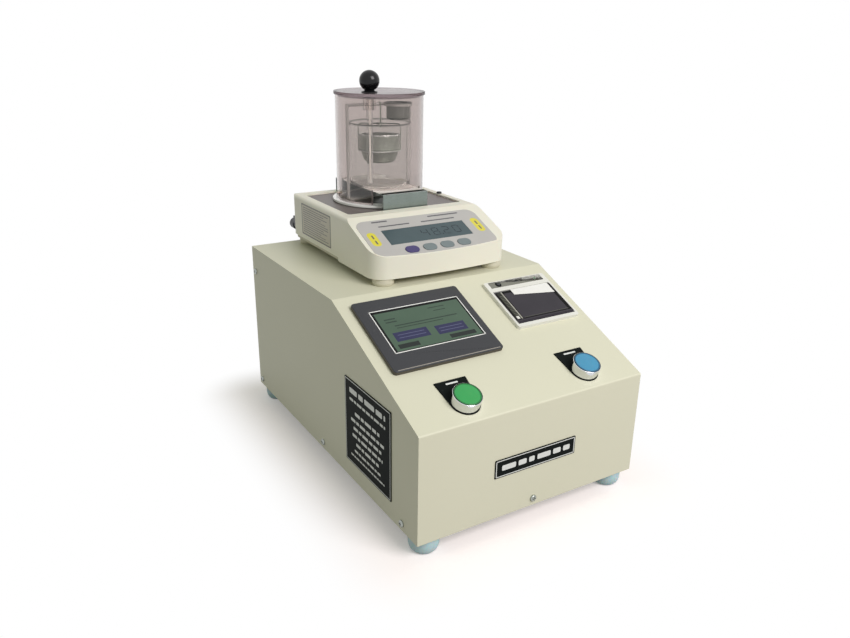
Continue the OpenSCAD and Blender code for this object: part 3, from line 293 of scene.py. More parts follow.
# Polyester powder coat on sheet steel: sprayed dry and baked, which leaves a
# satin skin with a very faint orange peel
CREAM_COAT = Finish(
    "cream_powder_coat", "#DDDCC6", 0.5, "#D8D7C0", 140, 1.3, 0.012, gloss_spread=0.05
)
# Moulded natural rubber with a blue tint: soft, dull and slightly clear
FOOT_RUBBER = Finish("pale_blue_rubber", "#C2DCE0", 0.5, "#B2CFD5", 12, 0.8, 0.02, soak=0.35)
# Zinc plated steel: bright with a faint grey mottle
ZINC = Finish("zinc_plated_steel", "#A9AEA9", 0.32, "#959A95", 6, 0.4, 0.004, metallic=1.0)
# Black anodised aluminium sheet: rolled, so it has a very fine lengthwise grain
BLACK_PLATE = Finish(
    "black_anodised_plate", "#141817", 0.45, "#1A1E1D", 30, 0.5, 0.004, Grain.ALONG_X, ior=1.09
)
# Silver screen print on the plates and legends: a thin dull lacquer
SILVER_INK = Finish("silver_ink", "#E6E9E6", 0.42, "#D8DBD8", 8, 0.3, 0.004)
# Polycarbonate blend of the touch panel, moulded with a fine spark-eroded grain
CHARCOAL_CASE = Finish("charcoal_moulded_plastic", "#2D2F33", 0.52, "#28292D", 50, 0.7, 0.02)
# The same moulding's sides, painted lighter and warmer than its top as painted reflection; the light
# line on its lower ridge is a painted highlight
BEZEL_SIDE_REFLECTION = Finish("bezel_side_painted_reflection", "#4A4439", 0.5, "#423D33", 30, 0.7, 0.02)
RIDGE_HIGHLIGHT = Finish("ridge_line_painted_highlight", "#AFAAA0", 0.45, "#A39E94", 12, 0.7)
# Chemically toughened glass over a liquid crystal panel: flat and glossy
SCREEN_GLASS = Finish(
    "touch_screen_glass", "#526A58", 0.16, "#455B4B", 38, 30, gloss_spread=0.03, ior=1.33
)
# Pixels of the screen: same gloss as the glass that covers them
SCREEN_VIOLET = Finish("screen_violet_block", "#313358", 0.2, "#2A2C4E", 14, 5, ior=1.33)
SCREEN_DARK = Finish("screen_dark_block", "#222B28", 0.2, "#1D2522", 12, 5, ior=1.33)
SCREEN_LINE = Finish("screen_pale_line", "#5B5F86", 0.2, "#54587C", 6, 5)
SCREEN_MARK = Finish("screen_faint_line", "#34443B", 0.2, "#2F3E36", 5, 5, ior=1.33)
SCREEN_EDGE = Finish("screen_black_border", "#0D1111", 0.2, "#121616", 8, 5, ior=1.25)
# ABS moulded in light grey, with a fine even grain
PRINTER_ABS = Finish("light_grey_abs", "#EAEAE3", 0.42, "#E1E1DA", 25, 0.6, 0.012)
# Brushed anodised aluminium strip
STRIP_METAL = Finish(
    "brushed_grey_strip", "#8B8B80", 0.4, "#7A7A70", 9, 0.35, 0.006, Grain.ALONG_X, metallic=0.75
)
# Smoked polycarbonate door: polished, deep brown-black
SMOKED_DOOR = Finish(
    "smoked_polycarbonate", "#38343C", 0.14, "#2C2930", 20, 20, gloss_spread=0.03, ior=1.3
)
# Rail and ribs along the door: ABS in a dull olive black. The rail's dark olive is partly painted
# shade of the recess wall beside the door; the ribs' lighter olive also makes a painted glint across
# the door
RAIL_AND_RECESS_SHADE = Finish("olive_rail_and_recess_shade", "#26271F", 0.6, "#1F2019", 8, 0.5, 0.015, ior=1.35)
RIB_AND_GLINT = Finish("olive_rib_and_painted_glint", "#55564A", 0.5, "#4B4C41", 8, 0.5, 0.015)
# Dull black strips round the printer door; the same black is painted shade in the gap round each
# button cap
DARK_STRIP_AND_GAP_SHADE = Finish("dark_strip_and_painted_gap_shade", "#0E0E0D", 0.8, "#141413", 5, 0.4, 0.02, ior=1.25)
# Light line along the door's left edge: a painted highlight of the door's edge
DOOR_LINE_HIGHLIGHT = Finish("door_edge_painted_highlight", "#B7B5AA", 0.3, "#A9A79C", 6, 0.4, metallic=0.3)
# Black ABS of connectors, switches and small keys
BLACK_ABS = Finish("black_abs", "#1E1F22", 0.38, "#26272A", 10, 0.5, 0.01)
# Thermal paper: calendered and coated, so smooth with a faint fibre cloud
TICKET_PAPER = Finish("thermal_paper", "#F4F4F1", 0.55, "#ECECE8", 5, 0.3, 0.008)
# Nitrile rubber of the platen: ground, so dull with a fine grain
PLATEN_RUBBER = Finish("ground_nitrile_rubber", "#2A2A2C", 0.7, "#323234", 6, 0.4, 0.01)
# Chromium plated brass of the button bezels: polished
CHROME = Finish(
    "polished_chromium", "#DADCDE", 0.09, "#CFD2D5", 9, 4, gloss_spread=0.03, metallic=1.0
)
# Acrylic button lenses: moulded clear over a coloured diffuser, with darker rims
GREEN_LENS = Finish("green_acrylic_lens", "#33A556", 0.42, "#2D9A4E", 9, 0.8, 0.006, soak=0.1)
GREEN_RIM = Finish("green_acrylic_rim", "#1F7A3C", 0.35, "#1A6D34", 9, 0.8)
BLUE_LENS = Finish("blue_acrylic_lens", "#4799BF", 0.42, "#3E8EB4", 9, 0.8, 0.006, soak=0.1)
BLUE_RIM = Finish("blue_acrylic_rim", "#246688", 0.35, "#1F5B7A", 9, 0.8)
# Ivory ABS of the balance: moulded, with a soft fine texture; darker for its base
IVORY_ABS = Finish("ivory_abs", "#EFECDD", 0.45, "#E9E6D6", 70, 0.8, 0.014, soak=0.04)
IVORY_SHADOW = Finish("ivory_abs_base", "#CFCBB6", 0.5, "#C6C2AE", 50, 0.8, 0.014)
# Polyester film of the fascia: back-printed, with a fine matt emboss
FASCIA_FILM = Finish("grey_polyester_film", "#BFBDBA", 0.45, "#B7B5B2", 40, 0.35, 0.006)
# Reflective liquid crystal display under a clear window, and its segments
LCD_GLASS = Finish(
    "display_window", "#4B5D62", 0.2, "#425358", 22, 20, gloss_spread=0.03, ior=1.33
)
LCD_SEGMENT = Finish("lcd_segment", "#25323A", 0.25, "#2A3840", 6, 5, ior=1.33)
# Screen printing inks of the fascia, the printer and the label; the label's foil
FILM_INK = Finish("dark_grey_ink", "#55565B", 0.4, "#5E5F63", 4, 0.5)
FILM_YELLOW = Finish("yellow_ink", "#E4DA45", 0.4, "#DCD140", 7, 0.5)
LABEL_BASE = Finish("label_beige_foil", "#C8C3B4", 0.45, "#BFBAAB", 20, 0.5)
# Silicone rubber keys: moulded soft, with a dull skin
KEY_VIOLET = Finish("violet_silicone_key", "#40366F", 0.42, "#392F64", 6, 0.5, 0.008)
KEY_GREY = Finish("grey_silicone_key", "#778385", 0.42, "#6E7A7C", 6, 0.5, 0.008)
# Deck plate: a warm dark grey with a fine grain, partly the deck's own tone and partly a painted
# dark reflection across its top
DECK_TONE_AND_REFLECTION = Finish("deck_grey_and_painted_reflection", "#6F6764", 0.42, "#655D5A", 20, 0.5, 0.012)
# Stainless steel of the bridge, cold rolled and brushed: fine lines across it. Its table is a
# lighter copy of it, as painted light on the faces that look up, and its bright edge strip is a
# painted highlight
BRIDGE_STEEL = Finish(
    "brushed_stainless_bridge",
    "#87918C", 0.32, "#7A847F", 12, 0.3, 0.006, Grain.ALONG_X, metallic=0.85,
)
TABLE_LIT_STEEL = Finish(
    "bridge_table_painted_light",
    "#F2EFE7", 0.4, "#E9E6DE", 14, 0.3, 0.006, Grain.ALONG_X, metallic=0.25,
)
EDGE_HIGHLIGHT = Finish("edge_painted_highlight", "#E4E8E6", 0.2, "#D6DAD8", 4, 0.3, metallic=0.6)
# Matt dark band on the bridge's table along its front bend: painted shade before the foot of the
# tube
BEND_SHADE = Finish("bend_painted_shade", "#232624", 0.6, "#1E211F", 10, 0.4, ior=1.06)
# Stainless steel of the weighing kit: spun, or drawn for the frame's wire
KIT_STEEL = Finish(
    "spun_stainless_kit", "#8B908A", 0.34, "#7A7F79", 9, 0.3, 0.006, Grain.ALONG_X, metallic=0.8
)
BOWL_STEEL = Finish(
    "spun_stainless_bowl", "#A9B1A6", 0.3, "#979F94", 9, 0.3, 0.006, Grain.ALONG_X, metallic=0.7
)
FRAME_STEEL = Finish(
    "drawn_stainless_frame", "#C0C1BC", 0.34, "#B2B3AE", 9, 0.3, 0.006, Grain.ALONG_X, metallic=0.5
)
PAN_STEEL = Finish(
    "spun_stainless_pan", "#A9ABAA", 0.34, "#999B9A", 14, 0.4, 0.006, metallic=0.85
)
# Machined aluminium of the weigh cell
CELL_METAL = Finish(
    "milled_aluminium", "#B4B7B9", 0.35, "#A8ABAD", 10, 0.4, 0.008, Grain.ALONG_Y, metallic=1.0
)
# Galvanised sheet of what stands inside the case
PLAIN_STEEL = Finish("galvanised_steel", "#B3B6B5", 0.4, "#A2A6A5", 15, 1.5, 0.006, metallic=0.9)
# White ABS of the shield's ring, moulded and polished; also the screen's line
RING_WHITE = Finish("white_polished_abs", "#FBFBF9", 0.22, "#F3F3F0", 25, 1.0, coat=0.3)
# Phenolic ball knob: turned and polished
KNOB_BLACK = Finish("turned_phenolic", "#101012", 0.22, "#161618", 8, 3, ior=1.38)
# Glass-epoxy board with green solder mask
BOARD_GREEN = Finish("green_solder_mask", "#2C6A44", 0.3, "#255B3A", 8, 0.8, 0.01)
# Cast acrylic: a tube that tints with its depth, a smoked lid and a clear bush
ACRYLIC_TUBE = ClearFinish(
    "cast_acrylic_tube", "#DAD3D0", 1.49, 0.02, depth_tint="#A08F90", density=38.0
)
ACRYLIC_LID = ClearFinish("smoked_acrylic_lid", "#94878A", 1.09, 0.14)
ACRYLIC_BUSH = ClearFinish("clear_acrylic_bush", "#F1EDEB", 1.3, 0.03)
# Sawn edge of the acrylic: fine saw marks that scatter the light
SAWN_EDGE = Finish("sawn_acrylic_edge", "#A9A19E", 0.7, "#9D9592", 4, 0.4, 0.02)
# Laboratory borosilicate glass, and the beaker's rim, tinted grey as a painted dark reflection,
# since a rim seen along its surface looks darker
LAB_GLASS = ClearFinish("borosilicate_glass", "#FAFCFB", 1.47, 0.01)
RIM_REFLECTION_GLASS = ClearFinish("rim_glass_painted_reflection", "#949C98", 1.47, 0.05)
# White enamel that backs a thermometer's bore
OPAL_BACK = Finish("white_enamel_backing", "#D6D1C9", 0.4, "#CBC6BE", 8, 0.4)


# ---------------------------------------------------------------- modelling


def deselect() -> None:
    """Leaves edit mode and deselects every object."""
    if bpy.context.object is not None and bpy.context.object.mode != "OBJECT":
        bpy.ops.object.mode_set(mode="OBJECT")
    bpy.ops.object.select_all(action="DESELECT")


def take(piece: Piece) -> None:
    """Makes a piece the only selected and the active one."""
    deselect()
    piece.select_set(True)
    bpy.context.view_layer.objects.active = piece


def settle(piece: Piece, place: Matrix) -> None:
    """Puts a piece in its place and moves that place into its mesh."""
    take(piece)
    piece.matrix_world = place @ piece.matrix_world
    bpy.ops.object.transform_apply(location=True, rotation=True, scale=True)


def smooth(piece: Piece, angle_deg: float = 35) -> Piece:
    """Shades a piece smooth across edges that are flatter than the angle."""
    take(piece)
    bpy.ops.object.shade_smooth_by_angle(angle=math.radians(angle_deg))
    return piece


def outwards(piece: Piece) -> Piece:
    """Merges doubles, closes open ends and turns all faces outwards."""
    take(piece)
    bpy.ops.object.mode_set(mode="EDIT")
    bpy.ops.mesh.select_all(action="SELECT")
    bpy.ops.mesh.remove_doubles(threshold=1e-7)
    bpy.ops.mesh.fill_holes(sides=0)
    bpy.ops.mesh.select_all(action="SELECT")
    bpy.ops.mesh.normals_make_consistent(inside=False)
    bpy.ops.object.mode_set(mode="OBJECT")
    return piece


def bevelled(piece: Piece, width_mm: float, segments: int = 2) -> Piece:
    """Rounds the edges sharper than 40 degrees with an applied bevel modifier.

    Args:
        piece: the piece.
        width_mm: the width of the rounding.
        segments: the number of faces across it.

    Returns:
        The piece.
    """
    take(piece)
    modifier = piece.modifiers.new("round_edges", "BEVEL")
    modifier.width = width_mm * MM
    modifier.segments = segments
    modifier.limit_method = "ANGLE"
    modifier.angle_limit = math.radians(40)
    modifier.miter_outer = "MITER_ARC"
    modifier.use_clamp_overlap = True
    bpy.ops.object.modifier_apply(modifier=modifier.name)
    return piece


def dressed(piece: Piece, finish: Surface) -> Piece:
    """Gives the whole piece one finish."""
    piece.data.materials.clear()
    piece.data.materials.append(finish.material())
    return piece


def opened(name: str, size: Flat = (1 / MM, 1 / MM)) -> Piece:
    """Names the newest object, scales it and opens its mesh for editing.

    Args:
        name: the piece's name.
        size: its width and height, where it was made one metre wide.

    Returns:
        The piece, in edit mode with all of its mesh selected.
    """
    piece = bpy.context.object
    piece.name = name
    piece.scale = (size[0] * MM, size[1] * MM, 1)
    bpy.ops.object.transform_apply(location=True, rotation=True, scale=True)
    bpy.ops.object.mode_set(mode="EDIT")
    bpy.ops.mesh.select_all(action="SELECT")
    return piece


def raise_by(height: float) -> None:
    """Extrudes what is selected straight up by millimetres."""
    bpy.ops.mesh.extrude_region_move(TRANSFORM_OT_translate={"value": (0, 0, height * MM)})


def plaque(
    name: str,
    finish: Surface,
    size: Flat,
    at: Point,
    thick: float,
    corner: float = 0.0,
    segments: int = 5,
) -> Piece:
    """Makes a thin plate with round corners that lies in its frame's X and Y.

    Args:
        name: the piece's name.
        finish: its finish.
        size: its width and height.
        at: the middle of its underside.
        thick: its thickness.
        corner: the radius of its corners.
        segments: the faces round one corner.

    Returns:
        The piece, at its place in its own frame.
    """
    deselect()
    bpy.ops.mesh.primitive_plane_add(size=1, location=Vector(at) * MM)
    piece = opened(name, size)
    if corner:
        bpy.ops.mesh.bevel(offset=corner * MM, segments=segments, affect="VERTICES")
    raise_by(thick)
    return dressed(outwards(piece), finish)


def disc(
    name: str, finish: Surface, width: float, at: Point, thick: float, crown: float = 0.0
) -> Piece:
    """Makes a flat round plate with a rounded upper edge.

    Args:
        name: the piece's name.
        finish: its finish.
        width: its diameter.
        at: the middle of its underside.
        thick: its thickness.
        crown: how far the upper edge is drawn in.

    Returns:
        The piece, at its place in its own frame.
    """
    deselect()
    bpy.ops.mesh.primitive_circle_add(
        vertices=48, radius=0.5, fill_type="NGON", location=Vector(at) * MM
    )
    piece = opened(name, (width, width))
    raise_by(thick - crown)
    if crown:
        bpy.ops.mesh.inset(thickness=crown * MM, depth=crown * MM)
    return dressed(smooth(outwards(piece)), finish)


def turned(name: str, finish: Surface, profile: Sequence[Flat], faces: int = 64) -> Piece:
    """Turns a profile about the upright axis of its frame, ring by ring.

    Args:
        name: the piece's name.
        finish: its finish.
        profile: radius and height of each ring, in order.
        faces: the number of faces round the axis.

    Returns:
        The piece, at its place in its own frame.
    """
    deselect()
    radius, height = profile[0]
    bpy.ops.mesh.primitive_circle_add(
        vertices=faces, radius=radius * MM, fill_type="NOTHING", location=(0, 0, height * MM)
    )
    piece = opened(name)
    for next_radius, next_height in profile[1:]:
        raise_by(next_height - height)
        grow = next_radius / radius
        bpy.ops.transform.resize(value=(grow, grow, 1), center_override=(0, 0, 0))
        radius, height = next_radius, next_height
    return dressed(smooth(outwards(piece)), finish)


def arc(middle: Flat, radius: float, degrees: range) -> list[Flat]:
    """Gives the points of a profile that lie round a middle at some angles."""
    angles = [math.radians(degree) for degree in degrees]
    return [(middle[0] + radius * math.cos(a), middle[1] + radius * math.sin(a)) for a in angles]


def merged(name: str, pieces: Sequence[Piece]) -> Piece:
    """Joins pieces into one, each part with its own material.

    Args:
        name: the name of the joined piece.
        pieces: the pieces, of which the first takes the others.

    Returns:
        The joined piece.
    """
    take(pieces[0])
    for piece in pieces:
        piece.select_set(True)
    bpy.ops.object.join()
    pieces[0].name = name
    return pieces[0]


def border(
    name: str, finish: Surface, size: Flat, line: float, over: float, up: float, thick: float
) -> list[Piece]:
    """Makes the four thin bars of a border.

    Args:
        name: the name of the bars.
        finish: their finish.
        size: width and height of the box that their middles run along.
        line: the width of a bar.
        over: how much longer a bar is than its side of the box.
        up: the height of their underside.
        thick: their thickness.

    Returns:
        The bars, in the frame of the border's middle.
    """
    bars = []
    for side in (-0.5, 0.5):
        flat, upright = (size[0] + over, line), (line, size[1] + over)
        bars.append(plaque(name, finish, flat, (0, side * size[1], up), thick))
        bars.append(plaque(name, finish, upright, (side * size[0], 0, up), thick))
    return bars


def tinted(piece: Piece, finish: Surface, test: Callable[[Vector, Vector], bool]) -> None:
    """Gives the faces that pass a test a second finish.

    Args:
        piece: the piece, in its place.
        finish: the finish of the chosen faces.
        test: tells from a face's centre and normal whether it is chosen.
    """
    piece.data.materials.append(finish.material())
    index = len(piece.data.materials) - 1
    for face in piece.data.polygons:
        if test(face.center, face.normal):
            face.material_index = index


def add_to(piece: Piece, body: str) -> None:
    """Lets a piece ride with a body, and logs which."""
    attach(piece, body)
    LOG.info("%s rides with %s", piece.name, body)


def refined(node: str, finish: Surface, round_mm: float = 0.0, segments: int = 2) -> Piece:
    """Replaces a CAD node by a merged copy of it with rounded edges.

    Args:
        node: the name of the node.
        finish: the finish of the copy.
        round_mm: the width of the rounding, or 0 for none.
        segments: the faces across the rounding.

    Returns:
        The copy, which stands for the node.
    """
    source = frame["nodes"][node]
    copy = bpy.data.objects.new(f"{node}_shown", source.data.copy())
    bpy.context.scene.collection.objects.link(copy)
    take(copy)
    bpy.ops.object.mode_set(mode="EDIT")
    bpy.ops.mesh.select_all(action="SELECT")
    bpy.ops.mesh.remove_doubles(threshold=2e-6)
    bpy.ops.mesh.dissolve_limited(angle_limit=math.radians(0.6))
    bpy.ops.object.mode_set(mode="OBJECT")
    if round_mm:
        bevelled(copy, round_mm, segments)
        modifier = copy.modifiers.new("even_normals", "WEIGHTED_NORMAL")
        modifier.keep_sharp = True
        smooth(copy, 45)
        bpy.ops.object.modifier_apply(modifier=modifier.name)
    else:
        smooth(copy, 30)
    dressed(copy, finish)
    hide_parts(node)
    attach(copy, source["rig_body"])
    LOG.info("%s stands for %s", copy.name, node)
    return copy


def let_light_in(piece: Piece) -> Piece:
    """Lets light pass a clear piece to what stands behind its wall."""
    piece.visible_shadow = False
    return piece


def dress_node(node: str, finish: Surface) -> None:
    """Gives a CAD node that keeps its shape its finish."""
    dressed(frame["nodes"][node], finish)
    LOG.info("%s is dressed", node)


# ---------------------------------------------------------------- places


@dataclass(frozen=True)
class Layout:
    """The frames in which the sub-assemblies are laid out."""

    middle_y: float = 234.8
    foot: float = 20.0
    front: float = 127.0
    top: float = 209.0
    slope_run: float = 194.0
    balance_x: float = 8.0
    balance_y: float = 199.0
    balance_lip: float = 35.0
    balance_top: float = 69.0
    balance_ridge: float = 82.0
    pan_y: float = 172.0

    def case(self, x: float = 0, y: float = 0, z: float = 0) -> Matrix:
        """Frame at a place of the case: Y from its front, Z from its lower edge."""
        return Matrix.Translation(Vector((x, y - self.middle_y, z + self.foot)) * MM)

    @staticmethod
    def tilted(edge: Matrix, rise: float, run: float, place: Point) -> Matrix:
        """Frame at a place of a slope that starts at an edge, Z outwards."""
        tilt = Matrix.Rotation(math.atan2(rise, run), 4, "X")
        return edge @ tilt @ Matrix.Translation(Vector(place) * MM)

    def slope(self, x: float = 0, s: float = 0, z: float = 0) -> Matrix:
        """Frame on the console's slope, Z outwards."""
        edge = self.case(0, 0, self.front)
        return self.tilted(edge, self.top - self.front, self.slope_run, (x, s, z))

    def balance(self, x: float = 0, y: float = 0, z: float = 0) -> Matrix:
        """Frame at a place of the balance, Z from the console's top."""
        return self.case(self.balance_x + x, self.balance_y + y, self.top + z)

    def fascia(self, x: float = 0, s: float = 0, z: float = 0) -> Matrix:
        """Frame on the balance's slope, Z outwards."""
        edge = self.balance(0, 0, self.balance_lip)
        rise = self.balance_top - self.balance_lip
        return self.tilted(edge, rise, self.balance_ridge, (x, s, z))

    def pan(self, x: float = 0, y: float = 0, z: float = 0) -> Matrix:
        """Frame on the weighing pan's axis."""
        return self.balance(x, self.pan_y + y, z)


LAYOUT = Layout()
UPRIGHT = Matrix.Rotation(math.pi / 2, 4, "X")
FACING_LEFT = Matrix.Rotation(-math.pi / 2, 4, "Z") @ UPRIGHT
# How far a print floats over what carries it, and how thick it is
PRINT_GAP = 0.02
PRINT_T = 0.05


# ---------------------------------------------------------------- console


@dataclass
class ConsoleCase:
    """The folded case with its feet, screws and plates."""

    name_size: Flat = (111.0, 22.0)
    name_z: float = 61.5
    data_size: Flat = (108.0, 107.0)
    data_y: float = 108.0
    data_z: float = 76.0
    plate_t: float = 1.0
    half_width: float = 150.0
    # the border of a plate's print
    line: float = 1.0
    inset: float = 1.6
    line_t: float = 0.06
    # dashes of a bar and the gap after each, in heights of the bar
    dashes: tuple[float, ...] = (2.9, 1.7, 3.6, 2.2)
    dash_gap: float = 0.55
    least_dash: float = 0.4
    # x, y, width and height of each bar of the name plate
    name_bars: tuple[tuple[float, ...], ...] = ((-24.5, 0.0, 44.0, 6.4), (24.5, 0.0, 46.0, 6.4))
    # y, width and height of each bar of the data plate
    rows: tuple[tuple[float, float, float], ...] = (
        (40.5, 84.0, 6.4),
        (29.5, 84.0, 3.2),
        (15.0, 58.0, 4.2),
        (5.0, 78.0, 3.8),
        (-4.5, 66.0, 3.8),
        (-14.0, 72.0, 3.8),
        (-23.5, 54.0, 3.8),
        (-33.0, 62.0, 3.0),
        (-41.0, 80.0, 2.2),
    )

    def build(self) -> None:
        """Builds the case and all that is fixed to its sheets."""
        refined("housing_cover", CREAM_COAT, 0.7, 3)
        refined("rear_panel", CREAM_COAT, 0.3)
        refined("base_tray", CREAM_COAT, 0.3)
        refined("case_screws", ZINC)
        refined("rubber_feet", FOOT_RUBBER, 0.8, 3)
        refined("front_nameplate", BLACK_PLATE, 0.25)
        out = self.plate_t + PRINT_GAP
        front = LAYOUT.case(0, -out, self.name_z) @ UPRIGHT
        self.bars_on("nameplate_print", self.name_size, self.name_bars, front)
        refined("side_plate", BLACK_PLATE, 0.25)
        bars = [(0.0, y, width, height) for y, width, height in self.rows]
        side = LAYOUT.case(-self.half_width - out, self.data_y, self.data_z) @ FACING_LEFT
        self.bars_on("side_plate_print", self.data_size, bars, side)

    def bars_on(
        self, name: str, size: Flat, bars: Sequence[tuple[float, ...]], place: Matrix
    ) -> None:
        """Builds the print of a plate: a border, and bars of dashes in place of words.

        Args:
            name: the piece's name.
            size: the plate's width and height.
            bars: x, y, width and height of each bar.
            place: the frame of the plate's middle.
        """
        box = (size[0] - 2 * self.inset, size[1] - 2 * self.inset)
        parts = border(name, SILVER_INK, box, self.line, 0.0, 0.0, self.line_t)
        for x, y, width, height in bars:
            # the dashes have uneven lengths, like a line of print
            start, end, turn = x - width / 2, x + width / 2, 0
            while start < end - self.least_dash * height:
                dash = min(height * self.dashes[turn % len(self.dashes)], end - start)
                at, corner = (start + dash / 2, y, 0), height * 0.2
                parts.append(plaque(name, SILVER_INK, (dash, height), at, self.line_t, corner, 2))
                start, turn = start + dash + self.dash_gap * height, turn + 1
        print_piece = merged(name, parts)
        settle(print_piece, place)
        add_to(print_piece, "console")


@dataclass
class TouchPanel:
    """The touch panel: bezel, glass, white line and a plain screen layout."""

    x: float = -65.0
    s: float = 137.0
    proud: float = 5.5
    side_below: float = 1.4
    glass_x: float = 2.2
    glass_s: float = 3.2
    glass: Flat = (117.0, 67.0)
    glass_below: float = 0.49
    line: float = 1.1
    line_t: float = 0.08
    bezel_h: float = 112.0
    # size of the painted highlight on the bezel's lower ridge, and its rise from the bezel's lower
    # edge
    ridge: Flat = (132.0, 0.8)
    ridge_up: float = 1.9
    bar_t: float = 0.03
    # widths of the screen's dark border: below and right, then above and left
    rims: Flat = (1.6, 3.2)

    def build(self) -> None:
        """Builds the panel."""
        bezel = refined("hmi_bezel", CHARCOAL_CASE, 1.1, 4)
        inverse = LAYOUT.slope(self.x, self.s).inverted()
        below = (self.proud - self.side_below) * MM
        # the faces below the bezel's top get the painted reflection of its sides
        tinted(bezel, BEZEL_SIDE_REFLECTION, lambda centre, normal: (inverse @ centre).z < below)
        refined("hmi_screen", SCREEN_GLASS, 0.15)
        self.white_line()
        self.graphics()

    def over_glass(self, z: float) -> Matrix:
        """Frame over the middle of the glass, at a height over the slope."""
        return LAYOUT.slope(self.x + self.glass_x, self.s + self.glass_s, z)

    def white_line(self) -> None:
        """Builds the white line round the screen and the painted highlight on the ridge below it."""
        bars = border("bezel_line", RING_WHITE, self.glass, self.line, self.line, 0.0, self.line_t)
        at = (-self.glass_x, -self.bezel_h / 2 + self.ridge_up - self.glass_s, 0)
        bars.append(plaque("bezel_edge_highlight", RIDGE_HIGHLIGHT, self.ridge, at, self.line_t, 0.35, 2))
        line = merged("bezel_line", bars)
        settle(line, self.over_glass(self.proud + 0.01))
        add_to(line, "console")

    def graphics(self) -> None:
        """Builds a plain screen layout of blocks and bars."""
        # finish, x, s, width and height of each
        shapes: list[tuple[Finish, float, float, float, float]] = [
            (SCREEN_VIOLET, -26.0, -10.5, 43.0, 14.0),
            (SCREEN_VIOLET, 24.5, -12.5, 39.0, 14.0),
            (SCREEN_LINE, -26.0, -8.0, 34.0, 0.8),
            (SCREEN_LINE, -26.0, -12.6, 34.0, 0.8),
            (SCREEN_LINE, 24.5, -10.2, 31.0, 0.8),
            (SCREEN_LINE, 24.5, -14.8, 31.0, 0.8),
            (SCREEN_DARK, -37.0, -25.0, 26.0, 6.5),
            (SCREEN_DARK, 33.0, -25.5, 34.0, 6.0),
            (SCREEN_MARK, 2.0, 6.5, 82.0, 1.6),
            (SCREEN_MARK, -8.0, 2.6, 60.0, 1.2),
            (SCREEN_MARK, 24.0, 24.0, 22.0, 1.2),
            (SCREEN_MARK, 26.0, 18.5, 16.0, 1.2),
            (SCREEN_MARK, -40.0, 18.0, 14.0, 1.8),
            (SCREEN_MARK, -40.0, 13.5, 14.0, 1.8),
        ]
        wide, high = self.glass[0] - self.line, self.glass[1] - self.line
        for sign, rim in zip((-1, 1), self.rims):
            shapes.append((SCREEN_EDGE, 0.0, sign * (high - rim) / 2, wide, rim))
            shapes.append((SCREEN_EDGE, -sign * (wide - rim) / 2, 0.0, rim, high))
        parts = []
        for finish, x, s, width, height in shapes:
            lift = 0.0 if finish in (SCREEN_VIOLET, SCREEN_DARK) else self.bar_t
            parts.append(plaque("screen_bar", finish, (width, height), (x, s, lift), self.bar_t))
        layout = merged("screen_layout", parts)
        settle(layout, self.over_glass(self.proud - self.glass_below))
        add_to(layout, "console")


